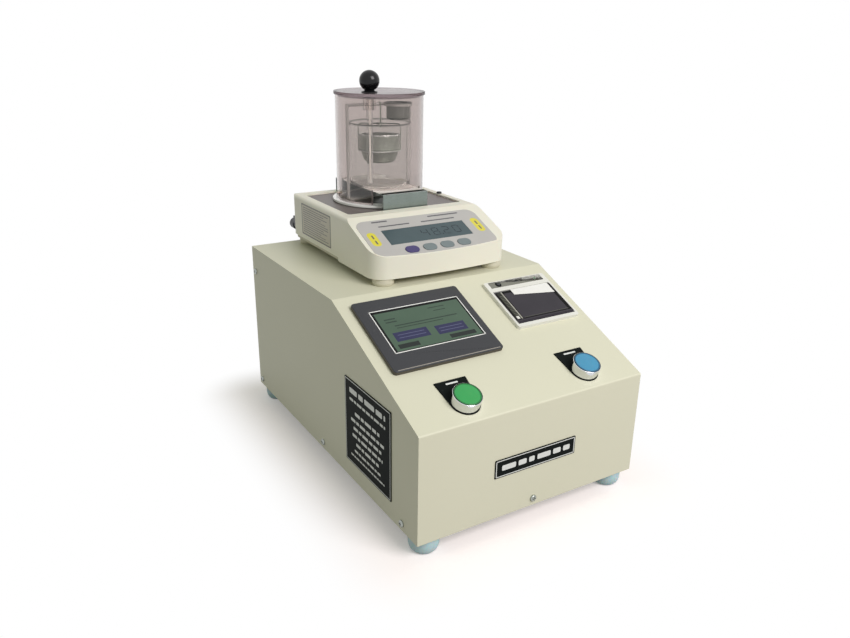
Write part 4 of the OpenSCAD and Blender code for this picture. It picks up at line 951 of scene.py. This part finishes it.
@dataclass
class TicketPrinter:
    """The ticket printer's frame, strip, door and paper."""

    x: float = 90.5
    s: float = 147.0
    proud: float = 4.5
    height: float = 82.0
    # the strip over the door and what it carries
    strip: Flat = (80.4, 9.8)
    strip_t: float = 0.45
    strip_below: float = 0.15
    strip_down: float = 6.5
    lamp_x: float = 29.5
    lamp_w: float = 2.6
    mark: Flat = (14.0, 1.2)
    mark_x: float = 4.0
    key_x: float = -27.5
    key_w: float = 8.4
    # the door, seen from its hinge
    hinge_up: float = 8.0
    door: Flat = (86.0, 53.6)
    door_top: float = 5.2
    # the trim keeps clear of the frame round the hinge
    trim_up: float = 3.2
    rail_in: float = 4.2
    rail_t: float = 1.0
    ribs: int = 16
    rib_pitch: float = 2.6

    def build(self) -> None:
        """Builds the printer."""
        refined("printer_frame", PRINTER_ABS, 0.9, 3)
        refined("printer_door", SMOKED_DOOR, 0.7, 3)
        refined("paper_tongue", TICKET_PAPER)
        refined("printer_feed_key", BLACK_ABS, 0.4)
        refined("printer_body", BLACK_ABS)
        dress_node("print_head", PLAIN_STEEL)
        dress_node("printer_hinge_pin", ZINC)
        dress_node("printer_platen", PLATEN_RUBBER)
        refined("paper_roll", TICKET_PAPER, 0.3)
        self.metal_strip()
        self.door_trim()

    def metal_strip(self) -> None:
        """Builds the metal strip over the door, with its lamp, mark and key seat."""
        up, top = self.height / 2 - self.strip_down, self.proud - self.strip_below
        band_at, mark_at = (0, up, top - self.strip_t), (self.mark_x, up, top + 0.01)
        parts = [
            plaque("printer_strip", STRIP_METAL, self.strip, band_at, self.strip_t, 1.0),
            disc("printer_lamp", GREEN_RIM, self.lamp_w, (self.lamp_x, up, top), 0.5, 0.3),
            plaque("printer_mark", FILM_INK, self.mark, mark_at, PRINT_T),
            disc("key_seat", BLACK_PLATE, self.key_w, (self.key_x, up, top), 0.12),
        ]
        piece = merged("printer_strip", parts)
        settle(piece, LAYOUT.slope(self.x, self.s))
        add_to(piece, "console")

    def door_trim(self) -> None:
        """Builds the ribbed rail, the dark strips, the latch, and the painted recess shade, edge
        highlight and glint.
        """
        wide, high = self.door
        left, low = -wide / 2, -self.height / 2 + self.hinge_up
        long = high - self.trim_up - 1.5
        mid = low + self.trim_up + long / 2
        # finish, size, x and s of the middle, thickness and corner
        flats: tuple[tuple[Finish, Flat, Flat, float, float], ...] = (
            # the rail is partly painted shade of the recess wall; the silver line is a painted
            # highlight of the door's edge
            (RAIL_AND_RECESS_SHADE, (6.4, long - 0.5), (left + self.rail_in, mid - 0.25), self.rail_t, 0.8),
            (DOOR_LINE_HIGHLIGHT, (1.5, long), (left + 8.6, mid), 0.7, 0.3),
            (DARK_STRIP_AND_GAP_SHADE, (wide - 12, 1.2), (5, low + 3.3), 0.12, 0.5),
            (DARK_STRIP_AND_GAP_SHADE, (wide - 12, 3.4), (5, low + high - 2.4), 0.12, 0.5),
            (DARK_STRIP_AND_GAP_SHADE, (4.6, long), (wide / 2 - 3.2, mid), 0.12, 0.5),
            (DARK_STRIP_AND_GAP_SHADE, (1.6, long), (left + 10.4, mid), 0.12, 0.5),
            # a painted glint across the door
            (RIB_AND_GLINT, (wide - 18, 0.5), (4, low + 4.9), 0.14, 0.0),
        )
        parts = [
            plaque("door_trim", finish, size, (*at, self.door_top), thick, corner)
            for finish, size, at, thick, corner in flats
        ]
        for index in range(self.ribs):
            rib_s, rib_z = low + 5 + index * self.rib_pitch, self.door_top + self.rail_t
            at = (left + self.rail_in, rib_s, rib_z)
            parts.append(plaque("rail_rib", RIB_AND_GLINT, (5.4, 1.1), at, 0.35))
        at = (left + 3.4, low + 5.6, self.door_top)
        parts.append(bevelled(plaque("door_latch", PRINTER_ABS, (4.0, 4.6), at, 1.5), 0.5))
        trim = merged("door_trim", parts)
        settle(trim, LAYOUT.slope(self.x, self.s))
        add_to(trim, "ticket_door")


@dataclass
class PushButtons:
    """The green and the blue push button with their legends."""

    green_x: float = -80.5
    blue_x: float = 82.0
    s: float = 26.0
    legend_t: float = 1.2
    legend_s: float = 27.7
    legend_h: float = 2.1
    start_w: float = 15.0
    accept_w: float = 17.0
    bezel_h: float = 11.5
    cap_r: float = 15.1
    cap_over: float = 0.6
    stem_r: float = 6.5
    rim_w: float = 1.9
    gap_w: float = 0.75

    def build(self) -> None:
        """Builds both buttons."""
        # the inner part of each bezel's upper edge is painted black: painted shade in the gap round
        # the cap
        tinted(refined("button_bezels", CHROME, 0.5, 3), DARK_STRIP_AND_GAP_SHADE, self.lies_in_shaded_gap)
        refined("legend_plates", BLACK_PLATE, 0.25)
        dress_node("button_nuts", ZINC)
        dress_node("contact_blocks", BLACK_ABS)
        self.cap("start_cap", self.green_x, GREEN_LENS, GREEN_RIM, "start_button")
        self.cap("accept_cap", self.blue_x, BLUE_LENS, BLUE_RIM, "accept_button")
        self.legend(self.green_x, "start_legend", self.start_w)
        self.legend(self.blue_x, "accept_legend", self.accept_w)

    def lies_in_shaded_gap(self, centre: Vector, normal: Vector) -> bool:
        """Tells whether a face of the bezels lies in the gap round a cap, which gets painted shade.

        Args:
            centre: the middle of the face.
            normal: its direction, which is not used.

        Returns:
            True for the inner part of either bezel's upper edge.
        """
        for x in (self.green_x, self.blue_x):
            place = (LAYOUT.slope(x, self.s).inverted() @ centre) / MM
            high = place.z > self.legend_t + self.bezel_h - 0.6
            if high and math.hypot(place.x, place.y) < self.cap_r + self.gap_w:
                return True
        return False

    def cap(
        self, node: str, x: float, lens: Finish, rim: Finish, body: str
    ) -> None:
        """Builds one cap: a raised rim round a shallow lens.

        Args:
            node: the CAD node that the cap stands for.
            x: its place across the slope.
            lens: the finish of the lens.
            rim: the finish of its rim.
            body: the body that it rides with.
        """
        r, top = self.cap_r, self.legend_t + self.bezel_h + self.cap_over
        profile = [
            (self.stem_r, -16.0), (self.stem_r, 7.0), (r, 7.0), (r, top - 0.9),
            (r - 0.15, top - 0.35), (r - 0.5, top - 0.08), (r - 1.0, top), (r - 1.35, top - 0.1),
            (r - 1.6, top - 0.45), (r - 2.6, top - 0.35), (r * 0.5, top - 0.12),
            (r * 0.2, top - 0.05), (0.2, top - 0.04),
        ]
        piece = turned(f"{node}_shown", lens, profile)
        settle(piece, LAYOUT.slope(x, self.s))
        inverse = LAYOUT.slope(x, self.s).inverted()

        def on_rim(centre: Vector, normal: Vector) -> bool:
            """Tells whether a face lies outside the lens."""
            place = inverse @ centre
            return math.hypot(place.x, place.y) > (r - self.rim_w) * MM

        tinted(piece, rim, on_rim)
        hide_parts(node)
        add_to(piece, body)

    def legend(self, x: float, name: str, width: float) -> None:
        """Builds the plain bar that stands for a legend's word."""
        at = (0, self.legend_s, self.legend_t + 0.01)
        bar = plaque(name, SILVER_INK, (width, self.legend_h), at, PRINT_T, 0.5, 2)
        settle(bar, LAYOUT.slope(x, self.s))
        add_to(bar, "console")


@dataclass
class InsideParts:
    """What is inside the console, and what is on its rear."""

    inner: tuple[tuple[str, Finish], ...] = (
        ("hmi_rear_case", CHARCOAL_CASE),
        ("hmi_clamps", PLAIN_STEEL),
        ("controller_board", BOARD_GREEN),
        ("power_supply", PLAIN_STEEL),
        ("weigh_cell", CELL_METAL),
        ("pan_support", CELL_METAL),
    )
    rear: tuple[tuple[str, Finish], ...] = (
        ("power_entry", BLACK_ABS),
        ("power_rocker", KNOB_BLACK),
        ("data_connector", PLAIN_STEEL),
        ("balance_connectors", BLACK_ABS),
    )

    def build(self) -> None:
        """Dresses the inner nodes and refines the ones on the rear."""
        for node, finish in self.inner:
            dress_node(node, finish)
        for node, finish in self.rear:
            refined(node, finish, 0.3)


# ---------------------------------------------------------------- balance


class Stroke(Enum):
    """The seven strokes of a display digit: x, y, width, height in digit units."""

    TOP = (0.0, 1.0, 0.8, 0.12)
    MIDDLE = (0.0, 0.0, 0.8, 0.12)
    BOTTOM = (0.0, -1.0, 0.8, 0.12)
    UPPER_LEFT = (-0.5, 0.5, 0.14, 0.84)
    UPPER_RIGHT = (0.5, 0.5, 0.14, 0.84)
    LOWER_LEFT = (-0.5, -0.5, 0.14, 0.84)
    LOWER_RIGHT = (0.5, -0.5, 0.14, 0.84)


DIGITS: dict[str, tuple[Stroke, ...]] = {
    "0": tuple(stroke for stroke in Stroke if stroke is not Stroke.MIDDLE),
    "2": (Stroke.TOP, Stroke.UPPER_RIGHT, Stroke.MIDDLE, Stroke.LOWER_LEFT, Stroke.BOTTOM),
    "4": (Stroke.UPPER_LEFT, Stroke.UPPER_RIGHT, Stroke.MIDDLE, Stroke.LOWER_RIGHT),
    "8": tuple(Stroke),
}


@dataclass
class Balance:
    """The balance: housing, fascia, display, keys, feet and deck."""

    shift: float = -5.0
    lcd_s: float = 40.0
    lcd_z: float = 0.4
    film: float = 0.5
    reading: str = "4820"
    # half the height of a digit, its width, and the way from one to the next
    digit_h: float = 7.0
    digit_w: float = 8.4
    pitch: float = 15.5
    first_x: float = -4.0
    least_stroke: float = 1.4
    point: Flat = (1.8, 1.8)
    point_y: float = -6.4
    # x, s, width and height of the fascia's bars; x, s and height of its ovals
    bars: tuple[tuple[float, ...], ...] = (
        (-58.0, 72.5, 22.0, 2.4),
        (-42.0, 62.5, 44.0, 2.2),
        (34.5, 71.5, 46.0, 2.4),
        (22.0, 62.5, 50.0, 2.2),
    )
    ovals: tuple[Point, ...] = ((-80.9, 39.7, 27.0), (71.5, 42.0, 29.0))
    oval_w: float = 11.5
    oval_mark: Flat = (2.0, 7.5)
    mark_lifts: Flat = (-6.0, 4.5)
    # the label on the left side, its border and its rows
    label: Flat = (94.0, 43.0)
    label_at: Point = (-97.52, 171.0, 41.5)
    label_t: float = 0.08
    line: float = 1.3
    line_in: float = 1.2
    rows: int = 12
    row_lengths: tuple[float, ...] = (80.0, 66.0, 76.0, 58.0, 72.0, 80.0)
    row_in: float = 6.0
    row_h: float = 0.8
    row_pitch: float = 3.0
    first_row: float = 16.6

    def build(self) -> None:
        """Builds the balance."""
        refined("balance_housing", IVORY_ABS, 2.4, 4)
        refined("balance_base", IVORY_SHADOW, 0.6)
        # the deck's dark grey is partly a painted dark reflection
        refined("balance_deck", DECK_TONE_AND_REFLECTION, 0.6)
        refined("balance_fascia", FASCIA_FILM, 0.15)
        refined("balance_lcd", LCD_GLASS, 0.1)
        refined("bubble_level", BLACK_ABS, 0.3)
        for index in range(1, 5):
            refined(f"balance_key_{index}", KEY_VIOLET if index == 1 else KEY_GREY, 0.5, 3)
            refined(f"levelling_foot_{index}", IVORY_SHADOW)
        self.display()
        self.film_print()
        self.side_label()

    def display(self) -> None:
        """Builds the display's plain reading with its point."""
        parts = []
        for place, digit in enumerate(self.reading):
            for stroke in DIGITS[digit]:
                x, y, width, height = stroke.value
                at = (self.first_x + place * self.pitch + x * self.digit_w, y * self.digit_h, 0.01)
                wide = max(width * self.digit_w, self.least_stroke)
                high = max(height * self.digit_h, self.least_stroke)
                parts.append(plaque("stroke", LCD_SEGMENT, (wide, high), at, PRINT_T, 0.3, 1))
        at = (self.first_x + 1.5 * self.pitch, self.point_y, 0.01)
        parts.append(plaque("digit_point", LCD_SEGMENT, self.point, at, PRINT_T))
        reading = merged("display_reading", parts)
        settle(reading, LAYOUT.fascia(self.shift, self.lcd_s, self.lcd_z))
        add_to(reading, "console")

    def film_print(self) -> None:
        """Builds the print on the fascia: plain bars and two marked yellow ovals."""
        parts = [
            plaque("film_bar", FILM_INK, (width, height), (x, s, 0.01), PRINT_T, 0.6, 2)
            for x, s, width, height in self.bars
        ]
        for x, s, height in self.ovals:
            size = (self.oval_w, height)
            parts.append(plaque("film_oval", FILM_YELLOW, size, (x, s, 0.01), PRINT_T, 5.4, 8))
            for lift in self.mark_lifts:
                at = (x + 0.4, s + lift, PRINT_T)
                parts.append(plaque("film_mark", FILM_INK, self.oval_mark, at, PRINT_T, 0.6, 2))
        print_piece = merged("film_print", parts)
        settle(print_piece, LAYOUT.fascia(0, 0, self.film))
        add_to(print_piece, "console")

    def side_label(self) -> None:
        """Builds the outlined label with plain lines on the left side."""
        wide, high = self.label
        box, up = (wide - 2 * self.line_in, high - 2 * self.line_in), self.label_t - 0.01
        parts = [plaque("label_base", LABEL_BASE, self.label, (0, 0, 0), self.label_t, 2.0)]
        parts += border("label_line", FILM_INK, box, self.line, 0.4, up, PRINT_T)
        for row in range(self.rows):
            length = self.row_lengths[row % len(self.row_lengths)]
            left, row_y = -wide / 2 + self.row_in, self.first_row - row * self.row_pitch
            at = (left + length / 2, row_y, up)
            parts.append(plaque("label_row", FILM_INK, (length, self.row_h), at, PRINT_T))
        label = merged("balance_label", parts)
        settle(label, LAYOUT.balance(*self.label_at) @ FACING_LEFT)
        add_to(label, "console")


# ---------------------------------------------------------------- shield, kit


@dataclass
class DraughtShield:
    """The clear tube with its ring, lid, knob and thermometer."""

    knob_x: float = -26.0
    knob_y: float = -22.0
    lid_top: float = 211.0
    knob_r: float = 13.0
    knob_neck: float = 3.0
    notch_half: float = 35.5
    notch_top: float = 90.5
    # the enamel: its width and thickness, and how much shorter than the glass it is
    enamel_w: float = 1.6
    enamel_t: float = 0.5
    enamel_short: float = 6.0
    enamel_up: float = 1.0

    def build(self) -> None:
        """Builds the shield."""
        refined("shield_ring", RING_WHITE, 0.4, 3)
        tube = let_light_in(refined("shield_cylinder", ACRYLIC_TUBE))
        inverse = LAYOUT.pan().inverted()

        def in_notch(centre: Vector, normal: Vector) -> bool:
            """Tells whether a face is a sawn face of the notches."""
            place = (inverse @ centre) / MM
            inside = abs(place.x) < self.notch_half and place.z < self.notch_top
            return inside and max(abs(normal.x), -normal.z) > 0.98

        tinted(tube, SAWN_EDGE, in_notch)
        let_light_in(refined("shield_lid", ACRYLIC_LID, 0.4))
        let_light_in(refined("thermometer_bush", ACRYLIC_BUSH))
        let_light_in(refined("thermometer", LAB_GLASS))
        self.enamel()
        self.knob()

    def enamel(self) -> None:
        """Builds the white strip inside the thermometer's glass."""
        low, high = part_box("thermometer")
        size = (self.enamel_w, (high.z - low.z) / MM - self.enamel_short)
        at = (0, 0, -self.enamel_t / 2)
        strip = plaque("thermometer_enamel", OPAL_BACK, size, at, self.enamel_t)
        middle = (Vector(low) + Vector(high)) / 2 + Vector((0, 0, self.enamel_up)) * MM
        settle(strip, Matrix.Translation(middle) @ UPRIGHT)
        add_to(strip, "lid")

    def knob(self) -> None:
        """Builds the ball knob on its collar."""
        r = self.knob_r
        middle = self.knob_neck + r - 1.5
        profile = [(10.5, 0.0), (10.4, 0.8), (9.6, 1.6), (7.4, 2.2), (6.2, 2.8)]
        profile += [*arc((0.0, middle), r, range(-60, 90, 6)), (0.15, middle + r)]
        knob = turned("lid_knob_shown", KNOB_BLACK, profile, 72)
        settle(knob, LAYOUT.pan(self.knob_x, self.knob_y, self.lid_top))
        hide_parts("lid_knob")
        add_to(knob, "lid")


@dataclass
class WeighingKit:
    """The pan, the bridge, the beaker, the frame, the dish and the basket."""

    beaker_r: float = 41.0
    beaker_h: float = 83.5
    beaker_wall: float = 1.8
    heel_r: Flat = (7.0, 6.0)
    rim_h: float = 1.6
    table_z: float = 88.0
    bridge_l: float = 142.0
    # size and y of the bridge's band of painted shade and of its painted highlight strip
    band: Flat = (65.9, 9.6)
    band_y: float = 6.2
    edge: Flat = (65.9, 1.1)
    edge_y: float = 0.75
    # the basket: its place, and the part of the CAD's shape that the bowl takes over
    basket_z: float = 119.0
    bowl_r: float = 27.05
    bowl_h: float = 38.3
    flange_h: float = 17.5
    # where the bowl's rolled rim and its bead begin
    bowl_rim_h: float = 36.4
    bead_h: float = 15.5
    bead_r: float = 27.6

    def build(self) -> None:
        self.bridge()
        self.beaker()
        refined("weighing_frame", FRAME_STEEL, 0.3)
        refined("upper_dish", KIT_STEEL)
        self.basket()
        refined("weighing_pan", PAN_STEEL, 0.5, 3)

    def bridge(self) -> None:
        """Builds the bridge with its table painted lighter as painted light, and a band of painted
        shade with a painted highlight at its front bend.
        """
        bridge = refined("bridge", BRIDGE_STEEL, 0.25)
        # faces that look up get a lighter copy of the steel: painted light
        tinted(bridge, TABLE_LIT_STEEL, lambda centre, normal: normal.z > 0.95)
        # a band of painted shade, and a strip of painted highlight along the front edge
        dark = plaque("bridge_shade_band", BEND_SHADE, self.band, (0, self.band_y, 0), 0.04)
        bright = plaque("bridge_highlight", EDGE_HIGHLIGHT, self.edge, (0, self.edge_y, 0), PRINT_T)
        band = merged("bridge_shade_band", [dark, bright])
        settle(band, LAYOUT.pan(0, -self.bridge_l / 2, self.table_z + 0.01))
        add_to(band, "console")

    def basket(self) -> None:
        """Builds the basket: a turned bowl with a beaded flange under its wires."""
        wires = refined("basket", BOWL_STEEL)
        inverse = LAYOUT.pan(0, 0, self.basket_z).inverted()
        # the CAD's own bowl goes, and its wires stay
        bpy.ops.object.mode_set(mode="EDIT")
        bpy.ops.mesh.select_mode(type="FACE")
        bpy.ops.mesh.select_all(action="DESELECT")
        bpy.ops.object.mode_set(mode="OBJECT")
        for face in wires.data.polygons:
            place = (inverse @ face.center) / MM
            reach = math.hypot(place.x, place.y)
            inside = reach < self.bowl_r or place.z < self.flange_h
            face.select = place.z < self.bowl_h and inside
        bpy.ops.object.mode_set(mode="EDIT")
        bpy.ops.mesh.delete(type="FACE")
        bpy.ops.mesh.select_mode(type="VERT")
        bpy.ops.object.mode_set(mode="OBJECT")
        outwards(wires)
        profile = [
            (0.3, 0.0), (14.0, 0.0), (17.4, 0.4), (19.6, 1.5), (21.2, 3.4), (22.3, 6.0), (23.6, 9.8),
            (25.2, 14.4), (25.9, 15.6), (26.8, 15.8), (28.2, 15.7), (29.0, 16.0), (29.0, 16.9),
            (28.2, 17.2), (27.0, 17.3), (26.5, 17.8), (27.0, 18.3), (27.1, 18.9), (26.5, 19.4),
            (26.4, 20.4), (26.6, 28.0), (26.8, 35.6), (27.1, 36.4), (27.2, 37.3), (26.9, 38.0),
            (26.3, 38.0), (25.8, 37.4), (25.5, 30.0), (25.2, 18.0), (23.6, 12.0), (21.2, 6.0),
            (19.0, 2.9), (16.0, 1.6), (13.0, 1.3), (0.3, 1.3),
        ]
        bowl = turned("basket_bowl", BOWL_STEEL, profile, 96)
        settle(bowl, LAYOUT.pan(0, 0, self.basket_z))

        def on_edge(centre: Vector, normal: Vector) -> bool:
            """Tells whether a face lies on the rolled rim or on the bead."""
            place = (inverse @ centre) / MM
            on_bead = place.z > self.bead_h and math.hypot(place.x, place.y) > self.bead_r
            return on_bead or place.z > self.bowl_rim_h

        # the rolled rim and the bead get a painted highlight
        tinted(bowl, EDGE_HIGHLIGHT, on_edge)
        merged(wires.name, [wires, bowl])

    def beaker(self) -> None:
        """Builds the beaker as one turned wall with a flared rim."""
        r, h, t = self.beaker_r, self.beaker_h, self.beaker_wall
        outer, inner = self.heel_r
        profile = [(0.4, 0.0), *arc((r - outer, outer), outer, range(-90, 1, 10))]
        profile += [
            (r, h - 3.2), (r + 0.3, h - 2.4), (r + 0.9, h - 1.5), (r + 1.2, h - 0.9),
            (r + 1.0, h - 0.3), (r + 0.4, h), (r - 0.8, h - 0.3), (r - t + 0.2, h - 1.0),
            (r - t, h - 2.0),
        ]
        profile += [*arc((r - t - inner, t + inner), inner, range(0, -91, -10)), (0.4, t)]
        glass = turned("beaker_shown", LAB_GLASS, profile, 128)
        settle(let_light_in(glass), LAYOUT.pan(0, 0, self.table_z))
        rim_low = LAYOUT.pan(0, 0, self.table_z + h - self.rim_h).translation.z
        # the rim's faces get the grey tint of a painted dark reflection
        tinted(glass, RIM_REFLECTION_GLASS, lambda centre, normal: centre.z > rim_low)
        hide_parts("beaker")
        add_to(glass, "console")


# ---------------------------------------------------------------- studio


@dataclass
class Studio:
    """The camera, the light and the white sweep."""

    eye: Point = (-492.2, -797.4, 518.1)
    right: Point = (0.85366, -0.52063, 0.01420)
    up: Point = (0.17232, 0.30806, 0.93563)
    focal_px: float = 772.43
    frame_px: float = 850.0
    sensor: float = 36.0
    # the key lamp and what it shines at, in metres and watts
    lamp_at: Point = (0.5, -1.99, 1.76)
    aim: Point = (0.0, 0.0, 0.15)
    lamp_size: float = 1.3
    lamp_power: float = 48
    lamp_tone: str = "#FFFAFC"
    # the surround that lights the object, and the white that the picture shows
    sky_tone: str = "#F1F6EA"
    sky_power: float = 0.43
    white: str = "#FFFFFF"
    # the floor: the half footprint and the fading of the shadow beyond it, in metres
    footprint: Point = (0.15, 0.225, 0.0)
    shadow_reach: float = 0.1
    floor_r: float = 30
    bounce_tone: str = "#A39F9E"
    seen_tone: str = "#F8EFEE"
    shadow_lift: float = 0.23

    def build(self) -> None:
        """Sets up the whole studio."""
        self.camera()
        self.lamp()
        self.floor()
        self.world()

    def camera(self) -> None:
        """Places the camera where the photograph was taken from."""
        data = bpy.data.cameras.new("camera")
        data.sensor_fit = "HORIZONTAL"
        data.sensor_width = self.sensor
        data.lens = self.focal_px * self.sensor / self.frame_px
        data.clip_end = 50
        camera = bpy.data.objects.new("camera", data)
        bpy.context.scene.collection.objects.link(camera)
        right, up = Vector(self.right).normalized(), Vector(self.up).normalized()
        back = right.cross(up)
        turn = Matrix((right, up, back)).transposed().to_4x4()
        camera.matrix_world = Matrix.Translation(Vector(self.eye) * MM) @ turn
        bpy.context.scene.camera = camera

    def lamp(self) -> None:
        """Adds the large soft key lamp, high in front and a little to the right."""
        data = bpy.data.lights.new("key", "AREA")
        data.shape = "SQUARE"
        data.size = self.lamp_size
        data.energy = self.lamp_power
        data.color = linear(self.lamp_tone)[:3]
        lamp = bpy.data.objects.new("key", data)
        bpy.context.scene.collection.objects.link(lamp)
        turn = (Vector(self.aim) - Vector(self.lamp_at)).to_track_quat("-Z", "Y")
        lamp.matrix_world = Matrix.Translation(self.lamp_at) @ turn.to_matrix().to_4x4()

    def floor(self) -> None:
        """Builds the floor, white to the camera away from the object's shadow."""
        deselect()
        bpy.ops.mesh.primitive_circle_add(
            vertices=96, radius=self.floor_r, fill_type="NGON", location=(0, 0, 0)
        )
        floor = bpy.context.object
        floor.name = "floor"
        made = bpy.data.materials.new("white_sweep")
        tree = empty_tree(made)
        # distance from the edge of the object's footprint
        away = add_node(tree, "TexCoord").outputs["Object"]
        for operation, second in (
            ("ABSOLUTE", (0.0, 0.0, 0.0)),
            ("SUBTRACT", self.footprint),
            ("MAXIMUM", (0.0, 0.0, 0.0)),
        ):
            inputs = {0: away, 1: second}
            away = add_node(tree, "VectorMath", inputs, operation=operation).outputs[0]
        length = add_node(tree, "VectorMath", {0: away}, operation="LENGTH").outputs["Value"]
        fade = ranged(tree, length, (0.0, self.shadow_reach), kind="SMOOTHSTEP")
        shown = shown_rays(tree)
        # near the object a matt floor, which is lifted towards white where it is seen
        matt = {"Color": blended(tree, shown, self.bounce_tone, self.seen_tone)}
        lift = combined(tree, "MULTIPLY", shown, self.shadow_lift)
        haze = {"Color": linear(self.white), "Strength": lift}
        shaders = {
            0: add_node(tree, "BsdfDiffuse", matt).outputs[0],
            1: add_node(tree, "Emission", haze).outputs[0],
        }
        near = add_node(tree, "AddShader", shaders).outputs[0]
        white = add_node(tree, "Emission", {"Color": linear(self.white), "Strength": 1.0}).outputs[0]
        parts = {0: combined(tree, "MULTIPLY", fade, shown), 1: near, 2: white}
        mix = add_node(tree, "MixShader", parts)
        add_node(tree, "OutputMaterial", {"Surface": mix.outputs[0]})
        floor.data.materials.append(made)

    def world(self) -> None:
        """Sets a pale even surround that the camera sees as white."""
        world = bpy.data.worlds.new("surround")
        bpy.context.scene.world = world
        tree = empty_tree(world)
        lights = [
            add_node(tree, "Background", {"Color": linear(tone), "Strength": power}).outputs[0]
            for tone, power in ((self.sky_tone, self.sky_power), (self.white, 1.0))
        ]
        parts = {0: shown_rays(tree), 1: lights[0], 2: lights[1]}
        mix = add_node(tree, "MixShader", parts)
        add_node(tree, "OutputWorld", {"Surface": mix.outputs[0]})


def main() -> None:
    """Builds every sub-assembly, and logs each by name."""
    logging.basicConfig(level=logging.INFO, format="%(name)s: %(message)s")
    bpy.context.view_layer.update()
    bpy.context.scene.view_settings.view_transform = "Standard"
    for assembly in (
        Studio(),
        ConsoleCase(),
        TouchPanel(),
        TicketPrinter(),
        PushButtons(),
        InsideParts(),
        Balance(),
        DraughtShield(),
        WeighingKit(),
    ):
        LOG.info("building %s", type(assembly).__name__)
        assembly.build()
    deselect()


if __name__ == "__main__":
    main()
